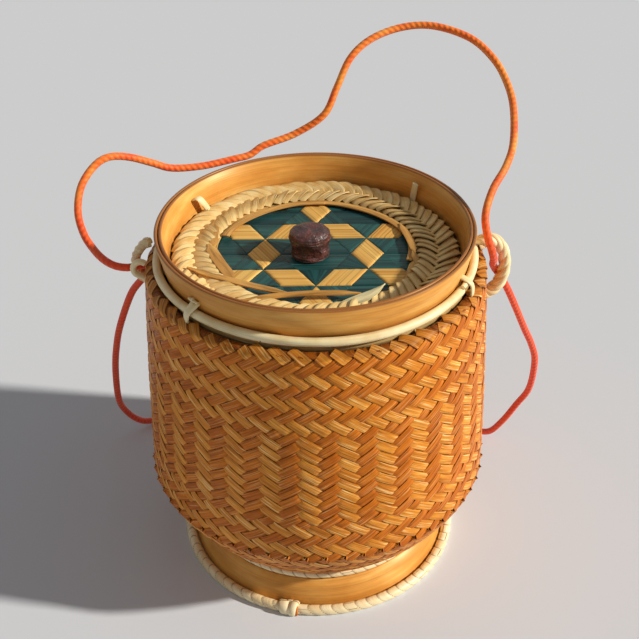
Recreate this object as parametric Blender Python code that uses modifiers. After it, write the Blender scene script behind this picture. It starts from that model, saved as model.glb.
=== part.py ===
"""A sticky rice basket: a woven bamboo body on a flared foot, a lift-off lid, and a carrying cord.

Sizes are in metres and +Z is up. The origin is on the floor, on the axis of the basket. The ears
are at +X and -X, and the side that faces -Y is the front.
"""

import math

import bmesh
import bpy
from mathutils import Vector

# Between pieces that touch on the real basket
GAP = 0.0003
ROUND_STEPS = 40
KNOB_STEPS = 14

# Foot
FOOT_RADIUS = 0.0594
BINDING_THICK = 0.0042
BINDING_FLAT = 0.0005
FOOT_HOOP_THICK = 0.0018
FOOT_TOP_RADIUS = 0.0489
TOP_LASHING_THICK = 0.0032
FOOT_HEIGHT = 0.0155

# Woven body
BASE_EDGE_INSET = 0.0005
BELLY_SWELL = 0.0045
BELLY_RISE = 0.0275
SHOULDER_POWER = 1.25
NECK_RISE = 0.0893
NECK_POWER = 1.4
OUTER_WEAVE_THICK = 0.0015
INNER_WEAVE_THICK = 0.0013
HEM_HEIGHT = 0.00305
HEM_WIDTH = 0.00545
HEM_OVERHANG = 0.0003
HEM_ROUNDING = 0.0009

# Lid
RIM_RADIUS = 0.0600
HOOP_HEIGHT = 0.01355
HOOP_FLARE = 0.0029
HOOP_PLY = 0.0012
RING_THICK = 0.0033
COLLAR_THICK = 0.0013
COLLAR_DEPTH = 0.0165
COLLAR_CLEARANCE = 0.0004
LINING_THICK = 0.0014
DISC_THICK = 0.0012
BAND_THICK = 0.0012
BAND_WIDTH = 0.0152
SPLINT_WIDTH = 0.0022
SPLINT_THICK = 0.0010
KNOB_RADIUS = 0.0080
KNOB_HEIGHT = 0.0122
KNOB_PLACE = (-0.0021, -0.0022)
KNOB_BORE_DEPTH = 0.0055
PEG_RADIUS = 0.0020
PEG_CLEARANCE = 0.0003
PEG_HEAD_RADIUS = 0.0036
PEG_HEAD_THICK = 0.0012
WASHER_RADIUS = 0.0060
WASHER_THICK = 0.0012

# Ties that hold the ring to the hoop, by their direction from +X in degrees
TIE_THICK = 0.0018
TIE_ANGLES = (43.0, 148.0, 224.5, 335.0)
TIE_HOLE_CLEARANCE = 0.0003
TIE_TAIL = 0.0035
TIE_BEND_RADIUS = 0.0014
TIE_WRAP_START = 90.0
TIE_WRAP_END = -8.0

# Ears, which stand a little behind the middle of the sides. The right one is the bigger of the two
EAR_TURN = 6.0
EAR_THICK = {"ear_right": 0.0034, "ear_left": 0.0026}
EAR_HEIGHT = {"ear_right": 0.0240, "ear_left": 0.0160}
EAR_REACH = {"ear_right": 0.0072, "ear_left": 0.0068}
EAR_RISE = {"ear_right": 0.0020, "ear_left": 0.0022}
EAR_ARC_START = 112.0
EAR_ARC_END = -90.0
EAR_ARC_STEPS = 12

# Cord, a closed loop through both ears, in two stretches that meet inside the ears
CORD_THICK = 0.0030
CORD_STEP = 0.0065
CARRY_ROUTE = (
    (0.0690, 0.0067, 0.1270),
    (0.0685, 0.0032, 0.1310),
    (0.0670, 0.0004, 0.1364),
    (0.0648, 0.0010, 0.1428),
    (0.0642, 0.0058, 0.1493),
    (0.0680, 0.0155, 0.1550),
    (0.0740, 0.0255, 0.1595),
    (0.0781, 0.0370, 0.1644),
    (0.0797, 0.0534, 0.1727),
    (0.0776, 0.0640, 0.1794),
    (0.0729, 0.0707, 0.1858),
    (0.0642, 0.0783, 0.1915),
    (0.0500, 0.0845, 0.1945),
    (0.0369, 0.0857, 0.1938),
    (0.0240, 0.0819, 0.1904),
    (0.0150, 0.0770, 0.1840),
    (0.0092, 0.0710, 0.1735),
    (0.0038, 0.0662, 0.1636),
    (-0.0083, 0.0640, 0.1562),
    (-0.0215, 0.0600, 0.1528),
    (-0.0271, 0.0576, 0.1498),
    (-0.0345, 0.0550, 0.1490),
    (-0.0467, 0.0507, 0.1482),
    (-0.0586, 0.0468, 0.1493),
    (-0.0658, 0.0439, 0.1531),
    (-0.0743, 0.0400, 0.1577),
    (-0.0816, 0.0358, 0.1598),
    (-0.0870, 0.0318, 0.1577),
    (-0.0916, 0.0257, 0.1521),
    (-0.0927, 0.0192, 0.1445),
    (-0.0902, 0.0130, 0.1382),
    (-0.0860, 0.0077, 0.1344),
    (-0.0815, 0.0027, 0.1327),
    (-0.0767, -0.0004, 0.1317),
    (-0.0719, -0.0003, 0.1308),
    (-0.0682, 0.0030, 0.1296),
    (-0.0668, 0.0077, 0.1270),
)
SLING_ROUTE = (
    (-0.0668, 0.0077, 0.1270),
    (-0.0671, 0.0118, 0.1228),
    (-0.0695, 0.0146, 0.1168),
    (-0.0755, 0.0175, 0.1076),
    (-0.0826, 0.0232, 0.0893),
    (-0.0870, 0.0292, 0.0742),
    (-0.0910, 0.0370, 0.0550),
    (-0.0938, 0.0460, 0.0310),
    (-0.0930, 0.0515, 0.0190),
    (-0.0888, 0.0558, 0.0095),
    (-0.0832, 0.0614, 0.0034),
    (-0.0740, 0.0700, 0.0017),
    (-0.0600, 0.0790, 0.0017),
    (-0.0380, 0.0860, 0.0017),
    (-0.0100, 0.0885, 0.0017),
    (0.0200, 0.0865, 0.0017),
    (0.0450, 0.0790, 0.0017),
    (0.0640, 0.0670, 0.0017),
    (0.0752, 0.0560, 0.0018),
    (0.0826, 0.0484, 0.0056),
    (0.0882, 0.0455, 0.0145),
    (0.0937, 0.0440, 0.0260),
    (0.0979, 0.0408, 0.0382),
    (0.0976, 0.0357, 0.0575),
    (0.0942, 0.0322, 0.0696),
    (0.0891, 0.0273, 0.0816),
    (0.0831, 0.0212, 0.0964),
    (0.0775, 0.0160, 0.1095),
    (0.0728, 0.0126, 0.1186),
    (0.0703, 0.0100, 0.1232),
    (0.0690, 0.0067, 0.1270),
)

# What follows from the sizes above
WALL_TOP_Z = FOOT_HEIGHT + BELLY_RISE + NECK_RISE
HEM_Z = WALL_TOP_Z + GAP
HEM_TOP_Z = HEM_Z + HEM_HEIGHT
LID_Z = HEM_TOP_Z + GAP
HOOP_SLOPE = HOOP_FLARE / HOOP_HEIGHT
HOOP_LEAN = math.atan(HOOP_SLOPE)


def hoop_radius(height):
    """The outside of the lid's hoop, at a height above its lower edge."""
    return RIM_RADIUS - HOOP_FLARE + HOOP_SLOPE * height


RING_RADIUS = hoop_radius(RING_THICK / 2) + (RING_THICK / 2 + GAP) / math.cos(HOOP_LEAN)
COLLAR_RADIUS = RING_RADIUS
HEM_INNER_RADIUS = COLLAR_RADIUS + COLLAR_CLEARANCE
MOUTH_RADIUS = HEM_INNER_RADIUS + HEM_WIDTH - HEM_OVERHANG
BELLY_RADIUS = MOUTH_RADIUS + BELLY_SWELL
BASE_EDGE_RADIUS = FOOT_TOP_RADIUS - BASE_EDGE_INSET
INNER_PLY_STEP = HOOP_PLY + GAP
HOOP_INSIDE_RADIUS = hoop_radius(0) - HOOP_PLY - INNER_PLY_STEP
DISC_RADIUS = HOOP_INSIDE_RADIUS - GAP
BAND_INNER_RADIUS = DISC_RADIUS - BAND_WIDTH
BAND_Z = DISC_THICK + GAP
LINING_Z = -GAP - LINING_THICK
WASHER_Z = LINING_Z - GAP - WASHER_THICK
PEG_HEAD_Z = WASHER_Z - GAP - PEG_HEAD_THICK
PEG_HOLE_RADIUS = PEG_RADIUS + PEG_CLEARANCE
TIE_ARC_RADIUS = RING_THICK / 2 + GAP + TIE_THICK / 2
TIE_HEIGHT = RING_THICK / 2 + TIE_ARC_RADIUS


def clear_scene():
    for obj in list(bpy.data.objects):
        bpy.data.objects.remove(obj, do_unlink=True)


def new_collection(name):
    collection = bpy.data.collections.new(name)
    bpy.context.scene.collection.children.link(collection)
    return collection


def new_material(name, colour, roughness):
    material = bpy.data.materials.new(name)
    material.use_nodes = True
    shader = material.node_tree.nodes["Principled BSDF"]
    shader.inputs["Base Color"].default_value = (*colour, 1.0)
    shader.inputs["Roughness"].default_value = roughness
    shader.inputs["Metallic"].default_value = 0.0
    return material


clear_scene()
PARTS = new_collection("sticky_rice_basket")
CUTTERS = new_collection("cutters")

BAMBOO = new_material("amber bamboo", (0.60, 0.28, 0.08), 0.45)
BAMBOO_LINING = new_material("plain bamboo", (0.72, 0.52, 0.26), 0.60)
BENT_WOOD = new_material("bent wood", (0.62, 0.34, 0.14), 0.40)
RATTAN = new_material("pale rattan", (0.88, 0.79, 0.56), 0.45)
DYED_MAT = new_material("teal and straw mat", (0.06, 0.19, 0.19), 0.50)
PALM_LEAF = new_material("plaited palm leaf", (0.86, 0.70, 0.42), 0.60)
DARK_WOOD = new_material("dark knob wood", (0.10, 0.03, 0.03), 0.35)
ORANGE_CORD = new_material("orange cord", (0.90, 0.16, 0.03), 0.50)


def place(name, data, material, z=0.0, parent=None):
    """An object of the basket, at a height above the floor or above its parent."""
    obj = bpy.data.objects.new(name, data)
    data.materials.append(material)
    PARTS.objects.link(obj)
    obj.location.z = z
    obj.parent = parent
    return obj


def profile_mesh(name, profile, closed):
    """A line of (radius, height) points in the XZ plane, for a Screw to turn."""
    mesh = bpy.data.meshes.new(name)
    edges = [(i, i + 1) for i in range(len(profile) - 1)]
    if closed:
        edges.append((len(profile) - 1, 0))
    mesh.from_pydata([(radius, 0.0, height) for radius, height in profile], edges, [])
    return mesh


def turn(obj, steps):
    screw = obj.modifiers.new("turn", "SCREW")
    screw.axis = "Z"
    screw.angle = 2 * math.pi
    screw.steps = steps
    screw.render_steps = steps
    screw.use_merge_vertices = True
    screw.merge_threshold = 0.00001
    screw.use_smooth_shade = True


def turned(name, profile, material, z=0.0, parent=None, closed=True, steps=ROUND_STEPS):
    """A piece turned about Z from a profile that runs down its outer side."""
    obj = place(name, profile_mesh(name, profile, closed), material, z, parent)
    turn(obj, steps)
    return obj


def woven_shell(name, profile, thick, material):
    """A turned open surface that is thickened inwards."""
    obj = turned(name, profile, material, closed=False)
    solidify = obj.modifiers.new("wall", "SOLIDIFY")
    solidify.thickness = thick
    solidify.offset = -1.0
    solidify.use_even_offset = True
    return obj


def round_section(radius, height, thick, sides=8):
    """A round cross-section, starting at its top and going down its outer side."""
    turns = [math.pi / 2 - 2 * math.pi * i / sides for i in range(sides)]
    return [(radius + thick / 2 * math.cos(a), height + thick / 2 * math.sin(a)) for a in turns]


def flat_section(inner, outer, low, high):
    """A rectangular cross-section."""
    return [(outer, high), (outer, low), (inner, low), (inner, high)]


def mat_section(outer, low, high):
    """Half the cross-section of a whole disc, from the axis out and back."""
    return [(0.0, high), (outer, high), (outer, low), (0.0, low)]


def tube(name, points, thick, material, parent=None):
    """A round strand along a list of points, with closed ends."""
    curve = bpy.data.curves.new(name, "CURVE")
    curve.dimensions = "3D"
    curve.bevel_depth = thick / 2
    curve.bevel_resolution = 2
    curve.use_fill_caps = True
    spline = curve.splines.new("POLY")
    spline.points.add(len(points) - 1)
    for slot, point in zip(spline.points, points):
        slot.co = (*point, 1.0)
    return place(name, curve, material, parent=parent)


def around(angle, points):
    """Points given as (radius, height), stood up in the plane at an angle about Z."""
    cosine = math.cos(angle)
    sine = math.sin(angle)
    return [(radius * cosine, radius * sine, height) for radius, height in points]


def wall_radius(z):
    """The outside of the woven body, at a height above the floor."""
    belly_z = FOOT_HEIGHT + BELLY_RISE
    if z < belly_z:
        drop = (belly_z - z) / BELLY_RISE
        swell = (1 - min(drop, 1.0) ** SHOULDER_POWER) ** (1 / SHOULDER_POWER)
        return BASE_EDGE_RADIUS + (BELLY_RADIUS - BASE_EDGE_RADIUS) * swell
    rise = (z - belly_z) / NECK_RISE
    return BELLY_RADIUS - (BELLY_RADIUS - MOUTH_RADIUS) * rise**NECK_POWER


def wall_profile():
    """The body from its mouth down to the middle of its base."""
    belly_z = FOOT_HEIGHT + BELLY_RISE
    neck = [belly_z + NECK_RISE * (1 - i / 4) for i in range(4)]
    shoulder_turns = [math.pi / 2 * i / 8 for i in range(9)]
    shoulder = [belly_z - BELLY_RISE * math.sin(a) ** (2 / SHOULDER_POWER) for a in shoulder_turns]
    line = [(wall_radius(z), z) for z in neck + shoulder]
    return line + [(0.0, FOOT_HEIGHT)]


def inwards(here, there):
    """The way into the body, square to one side of its profile."""
    along = (Vector(there) - Vector(here)).normalized()
    return Vector((along.y, -along.x))


def inset(profile, depth):
    """A profile moved inwards by the same depth on every side, with its ends kept in their planes."""
    moved = [(profile[0][0] - depth, profile[0][1])]
    for before, here, after in zip(profile, profile[1:], profile[2:]):
        first = inwards(before, here)
        second = inwards(here, after)
        shift = (first + second) * depth / (1 + first.dot(second))
        moved.append((here[0] + shift.x, here[1] + shift.y))
    return moved + [(0.0, profile[-1][1] + depth)]


def make_foot():
    hoop_low_z = BINDING_THICK / 2 - BINDING_FLAT
    lashing_z = FOOT_HEIGHT - GAP - TOP_LASHING_THICK / 2
    hoop_top_z = lashing_z - TOP_LASHING_THICK / 2 - GAP
    hoop_low_radius = FOOT_RADIUS - BINDING_THICK - GAP
    hoop_top_radius = FOOT_TOP_RADIUS + FOOT_HOOP_THICK / 2
    hoop = [
        (hoop_top_radius, hoop_top_z),
        (hoop_low_radius, hoop_low_z),
        (hoop_low_radius - FOOT_HOOP_THICK, hoop_low_z),
        (hoop_top_radius - FOOT_HOOP_THICK, hoop_top_z),
    ]
    turned("foot_hoop", hoop, BENT_WOOD)
    lashing = round_section(FOOT_TOP_RADIUS, lashing_z, TOP_LASHING_THICK)
    turned("foot_top_lashing", lashing, RATTAN)
    make_foot_binding(FOOT_RADIUS - BINDING_THICK / 2, hoop_low_z)


def make_foot_binding(radius, height):
    """The wrapped edge that the basket stands on: round, and cut flat below."""
    cut = math.asin(height / (BINDING_THICK / 2))
    start = math.pi + cut
    sweep = math.pi + 2 * cut
    arc = [start - sweep * i / 8 for i in range(9)]
    half = BINDING_THICK / 2
    section = [(radius + half * math.cos(a), height + half * math.sin(a)) for a in arc]
    turned("foot_binding", section, RATTAN)


def make_body():
    outside = wall_profile()
    woven_shell("outer_weave", outside, OUTER_WEAVE_THICK, BAMBOO)
    lining = inset(outside, OUTER_WEAVE_THICK + GAP)
    woven_shell("inner_weave", lining, INNER_WEAVE_THICK, BAMBOO_LINING)
    outer = MOUTH_RADIUS + HEM_OVERHANG
    hem = [
        (outer - HEM_ROUNDING, HEM_HEIGHT),
        (outer, HEM_HEIGHT - HEM_ROUNDING),
        (outer, HEM_ROUNDING),
        (outer - HEM_ROUNDING, 0.0),
        (HEM_INNER_RADIUS, 0.0),
        (HEM_INNER_RADIUS, HEM_HEIGHT),
    ]
    turned("mouth_hem", hem, BAMBOO, HEM_Z)


def ear_line(height, reach, rise):
    """The middle of an ear's strand: up off the hem, out over the mouth and back to the wall."""
    middle_z = HEM_TOP_Z + rise - height / 2
    middle_radius = wall_radius(middle_z - height / 2) + 2 * GAP
    sweep = EAR_ARC_END - EAR_ARC_START
    arc = []
    for i in range(EAR_ARC_STEPS + 1):
        a = math.radians(EAR_ARC_START + sweep * i / EAR_ARC_STEPS)
        radius = middle_radius + reach * math.cos(a)
        arc.append((radius, middle_z + height / 2 * math.sin(a)))
    return [(arc[0][0] - GAP, HEM_TOP_Z + GAP)] + arc


def make_ears():
    turn_back = math.radians(EAR_TURN)
    for name, angle in (("ear_right", turn_back), ("ear_left", math.pi - turn_back)):
        line = ear_line(EAR_HEIGHT[name], EAR_REACH[name], EAR_RISE[name])
        tube(name, around(angle, line), EAR_THICK[name], RATTAN)


def hoop_section(inset_by):
    """One ply of the lid's hoop, as a leaning strip."""
    top = hoop_radius(HOOP_HEIGHT) - inset_by
    low = hoop_radius(0) - inset_by
    return [(top, HOOP_HEIGHT), (low, 0.0), (low - HOOP_PLY, 0.0), (top - HOOP_PLY, HOOP_HEIGHT)]


def new_cutter(name, rods, parent):
    """An object that only cuts holes, from the rods that it is made of."""
    mesh = bpy.data.meshes.new(name)
    rods.to_mesh(mesh)
    rods.free()
    cutter = bpy.data.objects.new(name, mesh)
    CUTTERS.objects.link(cutter)
    cutter.parent = parent
    cutter.hide_render = True
    cutter.display_type = "WIRE"
    return cutter


def tie_hole_cutter(parent):
    """Round rods through both plies, where the ties pass."""
    rods = bmesh.new()
    length = 4 * HOOP_PLY + 2 * HOOP_FLARE
    for angle in TIE_ANGLES:
        rod = bmesh.ops.create_cone(
            rods,
            cap_ends=True,
            segments=8,
            radius1=TIE_THICK / 2 + TIE_HOLE_CLEARANCE,
            radius2=TIE_THICK / 2 + TIE_HOLE_CLEARANCE,
            depth=length,
        )
        heading = Vector((math.cos(math.radians(angle)), math.sin(math.radians(angle)), 0.0))
        turn_to = heading.to_track_quat("Z", "Y").to_matrix()
        bmesh.ops.rotate(rods, verts=rod["verts"], cent=(0, 0, 0), matrix=turn_to)
        middle = heading * (hoop_radius(TIE_HEIGHT) - HOOP_PLY - GAP / 2)
        middle.z = TIE_HEIGHT
        bmesh.ops.translate(rods, verts=rod["verts"], vec=middle)
    return new_cutter("tie_holes", rods, parent)


def peg_hole_cutter(parent):
    """A round rod through both mats, where the knob's peg passes."""
    rods = bmesh.new()
    bmesh.ops.create_cone(
        rods,
        cap_ends=True,
        segments=KNOB_STEPS,
        radius1=PEG_HOLE_RADIUS,
        radius2=PEG_HOLE_RADIUS,
        depth=2 * (LINING_THICK + DISC_THICK),
    )
    cutter = new_cutter("peg_hole", rods, parent)
    cutter.location.x, cutter.location.y = KNOB_PLACE
    return cutter


def cut(obj, cutter):
    holes = obj.modifiers.new("holes", "BOOLEAN")
    holes.operation = "DIFFERENCE"
    holes.solver = "EXACT"
    holes.object = cutter


def tie_line():
    """The middle of a tie: a tail inside the hoop, out through it and over the ring."""
    inside = hoop_radius(TIE_HEIGHT) - HOOP_PLY - INNER_PLY_STEP - GAP - TIE_THICK / 2
    bend_z = TIE_HEIGHT + TIE_BEND_RADIUS
    line = [(inside, bend_z + TIE_TAIL)]
    for i in range(3):
        a = math.radians(180.0 + 45.0 * i)
        radius = inside + TIE_BEND_RADIUS * (1 + math.cos(a))
        line.append((radius, bend_z + TIE_BEND_RADIUS * math.sin(a)))
    for i in range(6):
        a = math.radians(TIE_WRAP_START + (TIE_WRAP_END - TIE_WRAP_START) * i / 5)
        radius = RING_RADIUS + TIE_ARC_RADIUS * math.cos(a)
        line.append((radius, RING_THICK / 2 + TIE_ARC_RADIUS * math.sin(a)))
    return line


def make_knob(lid):
    """A faceted dome with a blind hole, and the headed peg and washer that hold it down."""
    dome = [
        (0.0, KNOB_HEIGHT),
        (KNOB_RADIUS * 0.45, KNOB_HEIGHT * 0.97),
        (KNOB_RADIUS * 0.80, KNOB_HEIGHT * 0.86),
        (KNOB_RADIUS, KNOB_HEIGHT * 0.62),
        (KNOB_RADIUS * 0.97, KNOB_HEIGHT * 0.40),
        (KNOB_RADIUS * 0.90, KNOB_HEIGHT * 0.22),
        (KNOB_RADIUS * 0.90, 0.0),
        (PEG_HOLE_RADIUS, 0.0),
        (PEG_HOLE_RADIUS, KNOB_BORE_DEPTH),
        (0.0, KNOB_BORE_DEPTH),
    ]
    knob = turned("knob", dome, DARK_WOOD, BAND_Z, lid, closed=False, steps=KNOB_STEPS)
    peg_top = BAND_Z + KNOB_BORE_DEPTH - GAP
    peg = [
        (0.0, peg_top),
        (PEG_RADIUS, peg_top),
        (PEG_RADIUS, PEG_HEAD_Z + PEG_HEAD_THICK),
        (PEG_HEAD_RADIUS, PEG_HEAD_Z + PEG_HEAD_THICK),
        (PEG_HEAD_RADIUS, PEG_HEAD_Z),
        (0.0, PEG_HEAD_Z),
    ]
    pin = turned("knob_peg", peg, BAMBOO_LINING, 0.0, lid, closed=False, steps=KNOB_STEPS)
    flat_ring = flat_section(PEG_HOLE_RADIUS, WASHER_RADIUS, WASHER_Z, WASHER_Z + WASHER_THICK)
    washer = turned("peg_washer", flat_ring, BAMBOO_LINING, 0.0, lid, steps=KNOB_STEPS)
    for piece in (knob, pin, washer):
        piece.location.x, piece.location.y = KNOB_PLACE


def make_lid():
    lid = bpy.data.objects.new("lid", None)
    PARTS.objects.link(lid)
    lid.location.z = LID_Z
    holes = tie_hole_cutter(lid)
    cut(turned("lid_hoop_outer", hoop_section(0.0), BENT_WOOD, 0.0, lid), holes)
    cut(turned("lid_hoop_inner", hoop_section(INNER_PLY_STEP), BENT_WOOD, 0.0, lid), holes)
    ring = round_section(RING_RADIUS, RING_THICK / 2, RING_THICK)
    turned("lid_ring", ring, RATTAN, 0.0, lid)
    for number, angle in enumerate(TIE_ANGLES, 1):
        line = around(math.radians(angle), tie_line())
        tube(f"lid_tie_{number}", line, TIE_THICK, RATTAN, lid)
    collar_inside = COLLAR_RADIUS - COLLAR_THICK
    collar = flat_section(collar_inside, COLLAR_RADIUS, -COLLAR_DEPTH, -GAP)
    turned("lid_collar", collar, BAMBOO_LINING, 0.0, lid)
    peg_hole = peg_hole_cutter(lid)
    lining = mat_section(collar_inside - GAP, LINING_Z, -GAP)
    cut(turned("lid_lining", lining, BAMBOO_LINING, 0.0, lid, closed=False), peg_hole)
    disc = mat_section(DISC_RADIUS, 0.0, DISC_THICK)
    cut(turned("lid_disc", disc, DYED_MAT, 0.0, lid, closed=False), peg_hole)
    splint_outside = BAND_INNER_RADIUS - GAP
    splint_inside = splint_outside - SPLINT_WIDTH
    splint = flat_section(splint_inside, splint_outside, BAND_Z, BAND_Z + SPLINT_THICK)
    turned("splint_ring", splint, PALM_LEAF, 0.0, lid)
    band = flat_section(BAND_INNER_RADIUS, DISC_RADIUS, BAND_Z, BAND_Z + BAND_THICK)
    turned("plait_band", band, PALM_LEAF, 0.0, lid)
    make_knob(lid)


def smooth_route(knots, step):
    """Points a step apart on a smooth curve. The first and last knots only steer its ends."""
    spans = 12
    fine = []
    for a, b, c, d in zip(knots, knots[1:], knots[2:], knots[3:]):
        for i in range(spans):
            t = i / spans
            bend = (2 * a - 5 * b + 4 * c - d) * t**2 + (3 * b - a - 3 * c + d) * t**3
            fine.append((2 * b + (c - a) * t + bend) / 2)
    fine.append(knots[-2])
    lengths = [0.0]
    for here, there in zip(fine, fine[1:]):
        lengths.append(lengths[-1] + (there - here).length)
    count = round(lengths[-1] / step)
    points = []
    at = 0
    for i in range(count + 1):
        goal = lengths[-1] * i / count
        while at < len(fine) - 2 and lengths[at + 1] < goal:
            at += 1
        share = (goal - lengths[at]) / (lengths[at + 1] - lengths[at])
        points.append(fine[at].lerp(fine[at + 1], min(share, 1.0)))
    return points


def squared_ends(points, knots):
    """The same line, drawn back at both ends to leave a gap, and cut square to the cord."""
    start = (knots[2] - knots[0]).normalized()
    end = (knots[-3] - knots[-1]).normalized()
    first = [points[0] + start * GAP / 2, points[0] + start * CORD_THICK / 2]
    last = [points[-1] + end * CORD_THICK / 2, points[-1] + end * GAP / 2]
    return first + points[1:-1] + last


def cord_points(route, other):
    """One stretch of the cord, which runs on into the other stretch at both its ends."""
    knots = [Vector(p) for p in (other[-2], *route, other[1])]
    return squared_ends(smooth_route(knots, CORD_STEP), knots)


def make_cord():
    for name, route, other in (
        ("cord_carry", CARRY_ROUTE, SLING_ROUTE),
        ("cord_sling", SLING_ROUTE, CARRY_ROUTE),
    ):
        points = cord_points(route, other)
        tube(name, points, CORD_THICK, ORANGE_CORD)
        length = sum((b - a).length for a, b in zip(points, points[1:]))
        print(f"{name}: {len(points)} points, {length * 1000:.0f} mm")


make_foot()
make_body()
make_ears()
make_lid()
make_cord()
print(f"rim {(LID_Z + HOOP_HEIGHT) * 1000:.1f} mm above the floor")
print(f"mouth {HEM_INNER_RADIUS * 2000:.1f} mm across inside its hem")
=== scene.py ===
# %% [markdown]
# A sticky rice basket in Blender. The real one is woven from split bamboo, stands on a ring of bent
# wood, and has a lift-off lid with a dyed star mat. The working solids are loaded first, and each
# cell then gives one part of the basket its real surface, around those solids and in their frame.

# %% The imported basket, as a fixed frame
import math

import bmesh
import bpy
import numpy as np
from mathutils import Matrix, Vector


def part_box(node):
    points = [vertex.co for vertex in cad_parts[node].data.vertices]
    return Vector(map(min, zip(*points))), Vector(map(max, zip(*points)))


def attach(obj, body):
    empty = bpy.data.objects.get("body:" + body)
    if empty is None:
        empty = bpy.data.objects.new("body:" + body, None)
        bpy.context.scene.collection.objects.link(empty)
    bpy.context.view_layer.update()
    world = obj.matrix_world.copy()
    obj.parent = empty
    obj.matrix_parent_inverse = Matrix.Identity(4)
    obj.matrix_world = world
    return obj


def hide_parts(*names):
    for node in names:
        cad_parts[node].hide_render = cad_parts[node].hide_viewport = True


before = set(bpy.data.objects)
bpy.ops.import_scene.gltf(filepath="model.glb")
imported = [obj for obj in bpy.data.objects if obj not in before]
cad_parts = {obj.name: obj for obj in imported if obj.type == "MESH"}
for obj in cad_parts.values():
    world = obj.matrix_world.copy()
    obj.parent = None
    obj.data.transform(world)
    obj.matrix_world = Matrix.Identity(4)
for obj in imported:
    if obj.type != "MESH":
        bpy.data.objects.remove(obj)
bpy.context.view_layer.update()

# %% [markdown]
# The camera stands where the photographer stood: above the basket and in front of it, looking down
# by about 35 degrees, with a slight roll of the hand. A lens is a focal length in pixels, scaled to
# the sensor.

# %% The camera
PICTURE_SIDE = 639
FOCAL_PIXELS = 1073.2
SENSOR_WIDTH = 36.0
CAMERA_PLACE = (0.0012, -0.3502, 0.3464)
CAMERA_TILT = math.radians(34.5)
CAMERA_ROLL = math.radians(-0.5)


def put(name, data):
    """An object of the data, in the scene."""
    obj = bpy.data.objects.new(name, data)
    bpy.context.scene.collection.objects.link(obj)
    return obj


camera_data = bpy.data.cameras.new("camera")
camera_data.sensor_width = SENSOR_WIDTH
camera_data.lens = SENSOR_WIDTH * FOCAL_PIXELS / PICTURE_SIDE
camera = put("camera", camera_data)
camera_turn = Matrix.Rotation(math.pi / 2 - CAMERA_TILT, 4, "X") @ Matrix.Rotation(CAMERA_ROLL, 4, "Z")
camera.matrix_world = Matrix.Translation(CAMERA_PLACE) @ camera_turn
bpy.context.scene.camera = camera
print("lens in mm:", round(camera_data.lens, 1))

# %% [markdown]
# Every finish is made of nodes, and so is the sky. Two small classes keep the node calls short: each
# method adds a few nodes and returns the socket that the next one reads. All pieces carry a vector
# named fibre on their points, which holds the way along the fibre, the way across it, and a random
# tint, so that grain runs the right way on every strip.

# %% Short calls for finishes
def tone(colour):
    """A colour as a screen shows it, from 0 to 255, made linear."""
    shares = [c / 255 for c in colour]
    return tuple(c / 12.92 if c < 0.04 else ((c + 0.055) / 1.055) ** 2.4 for c in shares) + (1.0,)


class NodeTree:
    """The nodes of a material or of the world."""

    def __init__(self, owner):
        owner.use_nodes = True
        self.nodes = owner.node_tree.nodes
        self.links = owner.node_tree.links

    def add(self, kind, inputs, output=0, **settings):
        node = self.nodes.new("ShaderNode" + kind)
        for name, value in settings.items():
            setattr(node, name, value)
        for key, value in inputs.items():
            if isinstance(value, bpy.types.NodeSocket):
                self.links.new(value, node.inputs[key])
            else:
                node.inputs[key].default_value = value
        return node.outputs[output]


class Finish(NodeTree):
    """One material, and the calls that build it."""

    def __init__(self, name, **sockets):
        self.material = bpy.data.materials.new(name)
        super().__init__(self.material)
        self.shader = self.nodes["Principled BSDF"]
        for socket, value in sockets.items():
            self.shader.inputs[socket.replace("_", " ")].default_value = value

    def fibre(self, *scale):
        """The piece's own along, across and tint, scaled."""
        vector = self.add("Attribute", {}, 1, attribute_name="fibre")
        return self.add("VectorMath", {0: vector, 1: scale}, operation="MULTIPLY")

    def place(self, scale):
        """The place in the basket's frame, scaled."""
        vector = self.add("TexCoord", {}, 3)
        return self.add("VectorMath", {0: vector, 1: (scale,) * 3}, operation="MULTIPLY")

    def noise(self, vector, detail=3.0):
        return self.add("TexNoise", {"Vector": vector, "Scale": 1.0, "Detail": detail, "Roughness": 0.55})

    def part(self, vector, axis):
        return self.add("SeparateXYZ", {0: vector}, axis)

    def height(self, scale, shift):
        """The height above the floor, scaled and shifted."""
        return self.sum("MULTIPLY_ADD", self.part(self.place(1.0), 2), scale, shift)

    def from_middle(self, half):
        """The way across a strip, from 0 at its middle to 1 at its edges."""
        return self.sum("ABSOLUTE", self.part(self.fibre(1.0, 1.0 / half, 1.0), 1))

    def ramp(self, factor, *stops):
        """Colours or greys that follow a factor."""
        socket = self.add("ValToRGB", {0: factor})
        elements = socket.node.color_ramp.elements
        for i, (position, colour) in enumerate(stops):
            if i > 1:
                elements.new(position)
            elements[i].position = position
            elements[i].color = tone(colour) if isinstance(colour, tuple) else (colour,) * 3 + (1.0,)
        return socket

    def mix(self, factor, first, second, mode="MIX"):
        return self.add("Mix", {0: factor, 6: first, 7: second}, 2, data_type="RGBA", blend_type=mode)

    def shade(self, colour, amount, factor, *greys):
        """The colour, darkened where the greys are dark."""
        return self.mix(amount, colour, self.ramp(factor, *greys), "MULTIPLY")

    def patch(self, colour, other, factor, *greys):
        """The colour, and the other one where the greys are light."""
        return self.mix(self.ramp(factor, *greys), colour, tone(other))

    def sum(self, operation, *values):
        return self.add("Math", dict(enumerate(values)), operation=operation)

    def end(self, colour, height, depth, roughness=None):
        """Links the colour, the bump from a height, and the roughness to the shader."""
        self.links.new(colour, self.shader.inputs["Base Color"])
        bump = self.add("Bump", {"Height": height, "Distance": depth, "Strength": 1.0})
        self.links.new(bump, self.shader.inputs["Normal"])
        if roughness is not None:
            self.links.new(roughness, self.shader.inputs["Roughness"])
        return self.material


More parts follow.
